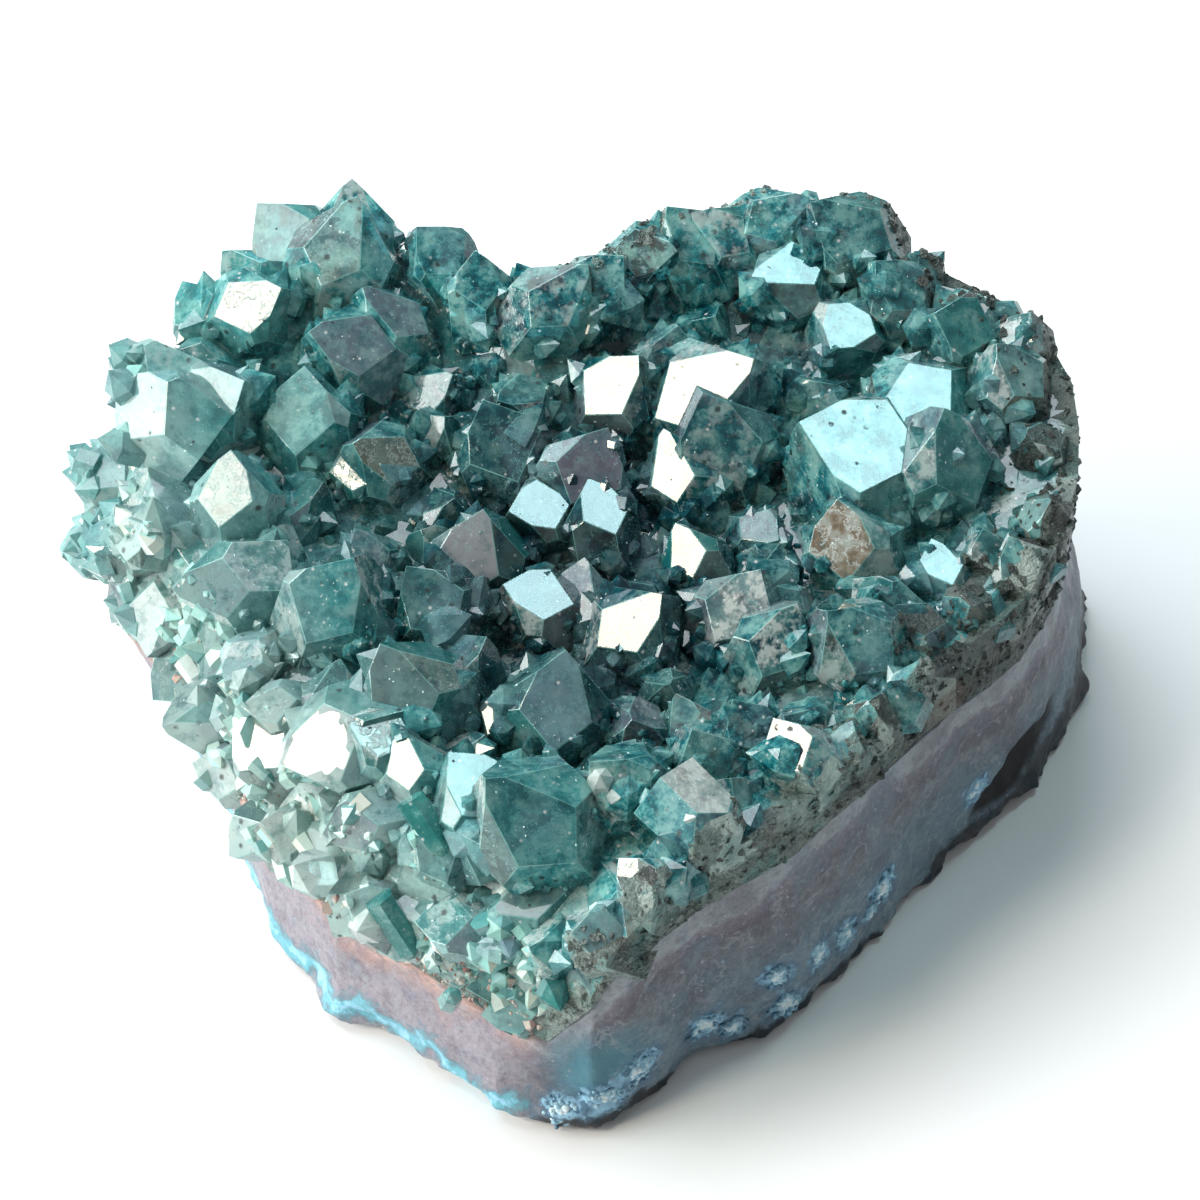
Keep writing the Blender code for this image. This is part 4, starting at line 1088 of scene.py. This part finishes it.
def makeLeftWall(milky, rusty):
    rng = random.Random(21)
    made = []
    for name, tries, radii, material, rosy in (
            ("wallShards", leftWall["shards"], leftWall["shardRadius"], milky, False),
            ("rosyGrains", leftWall["grains"], leftWall["grainRadius"], rusty, True)):
        bm = bmesh.new()
        tone = bm.faces.layers.float.new("facetTone")
        spots = list(spreadPoints(crustSurface, tries, rng, onLeftWall))
        distance = insideRim(np.array([point[:2] for point, face in spots]))
        for (point, face), far in zip(spots, distance):
            if far > leftWall["depth"] * rng.uniform(0.4, 1.1):
                continue
            lift = point.z - rindHeight(point.x * 0.95, point.y * 0.95)
            if rosy and (lift < -0.3 * mm or rng.random() < lift / leftWall["rosyHeight"]):
                continue
            if not rosy and lift < 1.2 * mm:
                continue
            radius = radii[0] + (radii[1] - radii[0]) * rng.random() ** 2
            lean = Vector((rng.gauss(0, 0.4), rng.gauss(0, 0.4), rng.gauss(0, 0.4)))
            axis = (face.normal + lean + Vector((0, 0, 0.25))).normalized()
            turn = axis.to_track_quat("Z", "Y") @ Quaternion((0, 0, 1), rng.uniform(0, 2))
            rise = radius * rng.uniform(0.1, 0.9)
            tip = point + axis * rise
            if insideRim(np.array([tip[:2]]))[0] < leftWall["overhang"]:
                continue
            addSmallCrystal(bm, tone, tip, turn, radius, rise + radius * 1.5, rng)
        if not rosy:
            spots = list(spreadPoints(crustSurface, leftWall["longShards"], rng, onLeftWall))
            distance = insideRim(np.array([point[:2] for point, face in spots]))
            for (point, face), far in zip(spots, distance):
                lift = point.z - rindHeight(point.x * 0.95, point.y * 0.95)
                if lift < 2 * mm or far > 2.2 * mm or abs(face.normal.z) > 0.5:
                    continue
                lean = Vector((rng.gauss(0, 0.22), rng.gauss(0, 0.22), rng.gauss(0, 0.22)))
                axis = (face.normal * 0.25 + leftWall["along"] + lean).normalized()
                turn = axis.to_track_quat("Z", "Y") @ Quaternion((0, 0, 1), rng.uniform(0, 2))
                radius = rng.uniform(*leftWall["longRadius"])
                length = radius * rng.uniform(2.0, 3.6)
                addSmallCrystal(bm, tone, point + axis * length * 0.5 - face.normal * radius * 0.25,
                                turn, radius, length, rng)
        made.append(newPiece(name, bm, [material]))
    return made


# the matrix

def makeRind(material):
    look = rindLook
    bm = matrixSurface.copy()
    bm.normal_update()
    shortenEdges(bm, look["edgeLength"], lambda e: any(abs(f.normal.z) < 0.9 for f in e.link_faces), 7)
    bm.normal_update()
    layer = {name: bm.verts.layers.float.new(name)
             for name in ("blotch", "lip", "strip", "rosyWall", "recess", "belowTop")}
    recess = Vector(look["recessAt"])
    for vert in bm.verts:
        p = vert.co / mm
        out = Vector((vert.normal.x, vert.normal.y, 0))
        left = min(1.0, max(0.0, (-2.0 - p.x) / 3.0)) * min(1.0, max(0.0, (20.0 - p.y) / 9.0))
        vert[layer["rosyWall"]] = left
        wave = noise.noise(Vector((p.x * 0.3, p.y * 0.3, 2.0)))
        inner = vert.co * 0.965
        topHeight = max(rindHeight(inner.x, inner.y), p.z * mm)
        vert[layer["belowTop"]] = (topHeight - vert.co.z) / (10 * mm)
        lipHeight = 2.4 + 3.0 * noise.noise(Vector((p.x * 0.17, p.y * 0.17, 4.0))) + max(0.0, p.x - 25) * 0.45
        vert[layer["lip"]] = max(0.0, 1.0 - p.z / max(0.8, lipHeight)) * (1.0 - 0.8 * left) \
            + (0.5 if p.z < 0.3 else 0.0)
        vert[layer["strip"]] = left * max(0.0, 1.0 - abs(p.z - 2.2 - wave * 1.5) / 3.0)
        vert[layer["blotch"]] = max([0.0] + [1.0 - (p - Vector(c)).length / (r * 1.5) for c, r in blotches])
        hole = (p - recess)
        size = look["recessSize"]
        rise = hole.z - (hole.x + hole.y) * 0.12 + 0.7 * noise.noise(p * 0.5)
        dent = max(0.0, 1.0 - Vector((hole.x / size[0], hole.y / size[1], rise / size[2])).length)
        # painted shade: mask of the recess, painted near black
        vert[layer["recess"]] = min(1.0, dent * 5.0)
        if vert.normal.z > 0.5 or p.z > topHeight / mm - 0.15:
            vert.co.z += look["closeGap"]
        if out.length < 0.3:
            continue
        out.normalize()
        swell = noise.noise(Vector((p.x * 0.22, p.y * 0.22, p.z * 0.2)))
        small = noise.noise(Vector((p.x * 1.3, p.y * 1.3, p.z * 1.3)))
        chunk = noise.noise(Vector((p.x * 0.28, p.y * 0.28, p.z * 0.3)))
        crumb = noise.noise(Vector((p.x * 1.1, p.y * 1.1, p.z * 1.2 + 7)))
        lipShare = max(0.0, 1.0 - p.z / (3.0 + 2 * wave))
        step = swell * look["swell"] + small * 0.06 * mm
        step += lipShare * (chunk * 1.1 + crumb * 0.6 - 0.15) * look["chip"]
        step += vert[layer["blotch"]] * noise.noise(p * 1.4) * 0.5 * mm
        step -= dent * 1.6 * mm
        # the rosy wall laps over the foot of the crystals
        step += left * max(0.0, 1.0 - (topHeight - p.z * mm) / (1.3 * mm)) * 0.25 * mm
        vert.co += out * step
    piece = newPiece("chalcedonyRind", bm, [material], 35)
    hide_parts("matrix")
    return piece


# light-blue beads standing proud in the dye blotches

nodules = {"each": 60, "size": (0.14 * mm, 0.42 * mm), "reach": 0.42, "sunk": 0.3, "least": 0.12}


def noduleMaterial():
    # beads of chalcedony, waxy and translucent: near white in the middle of a blotch, deeper blue round it
    material, tree, output = newMaterial("skyBlueChalcedony")
    place = placeMm(tree)
    core = addNode(tree, "ShaderNodeAttribute", attribute_name="core").outputs["Fac"]
    fine = noiseMm(tree, place, 0.7, 3.0, 0.6)
    at = mathNode(tree, "ADD", core, remap(tree, fine, 0.3, 0.7, -0.35, 0.35))
    body = ramp(tree, at, [(0.05, linearColour("#4d6d82")), (0.35, linearColour("#6a98b2")),
                           (0.6, linearColour("#9cc8da")), (0.85, linearColour("#dcecf2"))])
    shader = addNode(tree, "ShaderNodeBsdfPrincipled",
                     {"IOR": 1.54, "Metallic": 0.0, "Roughness": 0.3, "Subsurface Weight": 0.15,
                      "Subsurface Scale": 0.0008, "Subsurface Radius": (0.8, 0.9, 1.0)}, {"Base Color": body})
    tree.links.new(shader.outputs[0], output.inputs["Surface"])
    return material


def makeNodules(material):
    rng = random.Random(17)
    ball = bmesh.new()
    bmesh.ops.create_icosphere(ball, subdivisions=2, radius=1.0)
    points = [v.co.copy() for v in ball.verts]
    corners = [[v.index for v in f.verts] for f in ball.faces]
    ball.free()
    bm = bmesh.new()
    core = bm.verts.layers.float.new("core")
    for centre, radius in blotches:
        middle = Vector(centre) * mm
        for i in range(nodules["each"]):
            away = Vector((rng.gauss(0, 1), rng.gauss(0, 1), rng.gauss(0, 1))) * radius * nodules["reach"] * mm
            point, normal, index, distance = matrixTree.find_nearest(middle + away)
            share = 1.0 - (point - middle).length / (radius * mm)
            small, large = nodules["size"]
            size = small + (large - small) * rng.random() * max(0.0, share)
            if abs(normal.z) > 0.6 or point.z < size or share < nodules["least"]:
                continue
            verts = []
            for co in points:
                lump = size * (1.0 + 0.25 * noise.noise((co * size + point) / mm * 2.5))
                vert = bm.verts.new(point - normal * size * nodules["sunk"] + co * lump)
                vert[core] = share
                verts.append(vert)
            for face in corners:
                bm.faces.new([verts[k] for k in face])
    return newPiece("skyBlueNodules", bm, [material], 80)


# floor, lights and camera

studio = {
    "eyeElevation": 45.0,
    "eyeDistance": 260.0 * mm,
    "eyeTarget": Vector((1.28, -2.77, 22.4)) * mm,
    "lens": 106.86,
    "aim": Vector((0.0, 0.0, 20.0)) * mm,
    "world": "#e8ecee",
    "worldStrength": 0.31,
    "floor": "#f6f7f7",
}
# name, place in mm, size in metres, colour, radiance
softBoxes = [
    ("warmBox", (-330.9, -192.8, 400.0), 0.11, "#ffeed6", 27.0),
    ("coolBox", (189.1, 147.2, 480.0), 0.10, "#b9e4ea", 19.0),
    ("skyBox", (-220.0, 260.0, 560.0), 0.55, "#f4f8fd", 5.8),
    ("leftBox", (-560.0, -90.0, 220.0), 0.40, "#fbfbf8", 11.0),
]


def addLamp(name, place, size, colour, radiance):
    lamp = bpy.data.lights.new(name, "AREA")
    lamp.shape = "DISK"
    lamp.size = size
    lamp.color = linearColour(colour)[:3]
    lamp.energy = radiance * (math.pi * size / 2) ** 2
    item = bpy.data.objects.new(name, lamp)
    bpy.context.scene.collection.objects.link(item)
    item.location = Vector(place) * mm
    item.rotation_euler = (studio["aim"] - item.location).to_track_quat("-Z", "Y").to_euler()


def makeStudio():
    floorMaterial, tree, output = newMaterial("paleFloor")
    shader = addNode(tree, "ShaderNodeBsdfPrincipled", {"Base Color": linearColour(studio["floor"]), "Roughness": 0.8})
    tree.links.new(shader.outputs[0], output.inputs["Surface"])
    bm = bmesh.new()
    bmesh.ops.create_grid(bm, x_segments=1, y_segments=1, size=3.0)
    mesh = bpy.data.meshes.new("floor")
    bm.to_mesh(mesh)
    bm.free()
    floor = bpy.data.objects.new("floor", mesh)
    bpy.context.scene.collection.objects.link(floor)
    mesh.materials.append(floorMaterial)
    world = bpy.data.worlds.new("paleStudio")
    bpy.context.scene.world = world
    world.use_nodes = True
    back = world.node_tree.nodes["Background"]
    back.inputs["Color"].default_value = linearColour(studio["world"])
    back.inputs["Strength"].default_value = studio["worldStrength"]
    for box in softBoxes:
        addLamp(*box)
    camera = bpy.data.cameras.new("camera")
    camera.lens = studio["lens"]
    camera.sensor_width = 36.0
    camera.clip_start = 0.01
    item = bpy.data.objects.new("camera", camera)
    bpy.context.scene.collection.objects.link(item)
    elevation = math.radians(studio["eyeElevation"])
    back = Vector((0, -math.cos(elevation), math.sin(elevation)))
    item.location = studio["eyeTarget"] + back * studio["eyeDistance"]
    item.rotation_euler = (-back).to_track_quat("-Z", "Y").to_euler()
    bpy.context.scene.camera = item
    bpy.context.scene.view_settings.view_transform = "Standard"


def main():
    clear = dyedAmethystMaterial("dyedAmethyst", crystalLook["transmission"])
    milky = dyedAmethystMaterial("milkyAmethyst", crystalLook["milkyTransmission"], True)
    band = sawnQuartzMaterial()
    makeCrust(clear, band)
    makeGround(dyedGroundMaterial())
    makeSmallCrystals(clear)
    makeGrains(band)
    makeFrontCrystals(clear)
    makeLeftWall(milky, rustyQuartzMaterial())
    makeSpecks(speckMaterial("quartzFrost", "#cfe4e1", 0.15), speckMaterial("goethiteDots", "#16262b", 0.5))
    makeRind(chalcedonyMaterial())
    makeNodules(noduleMaterial())
    makeStudio()


main()
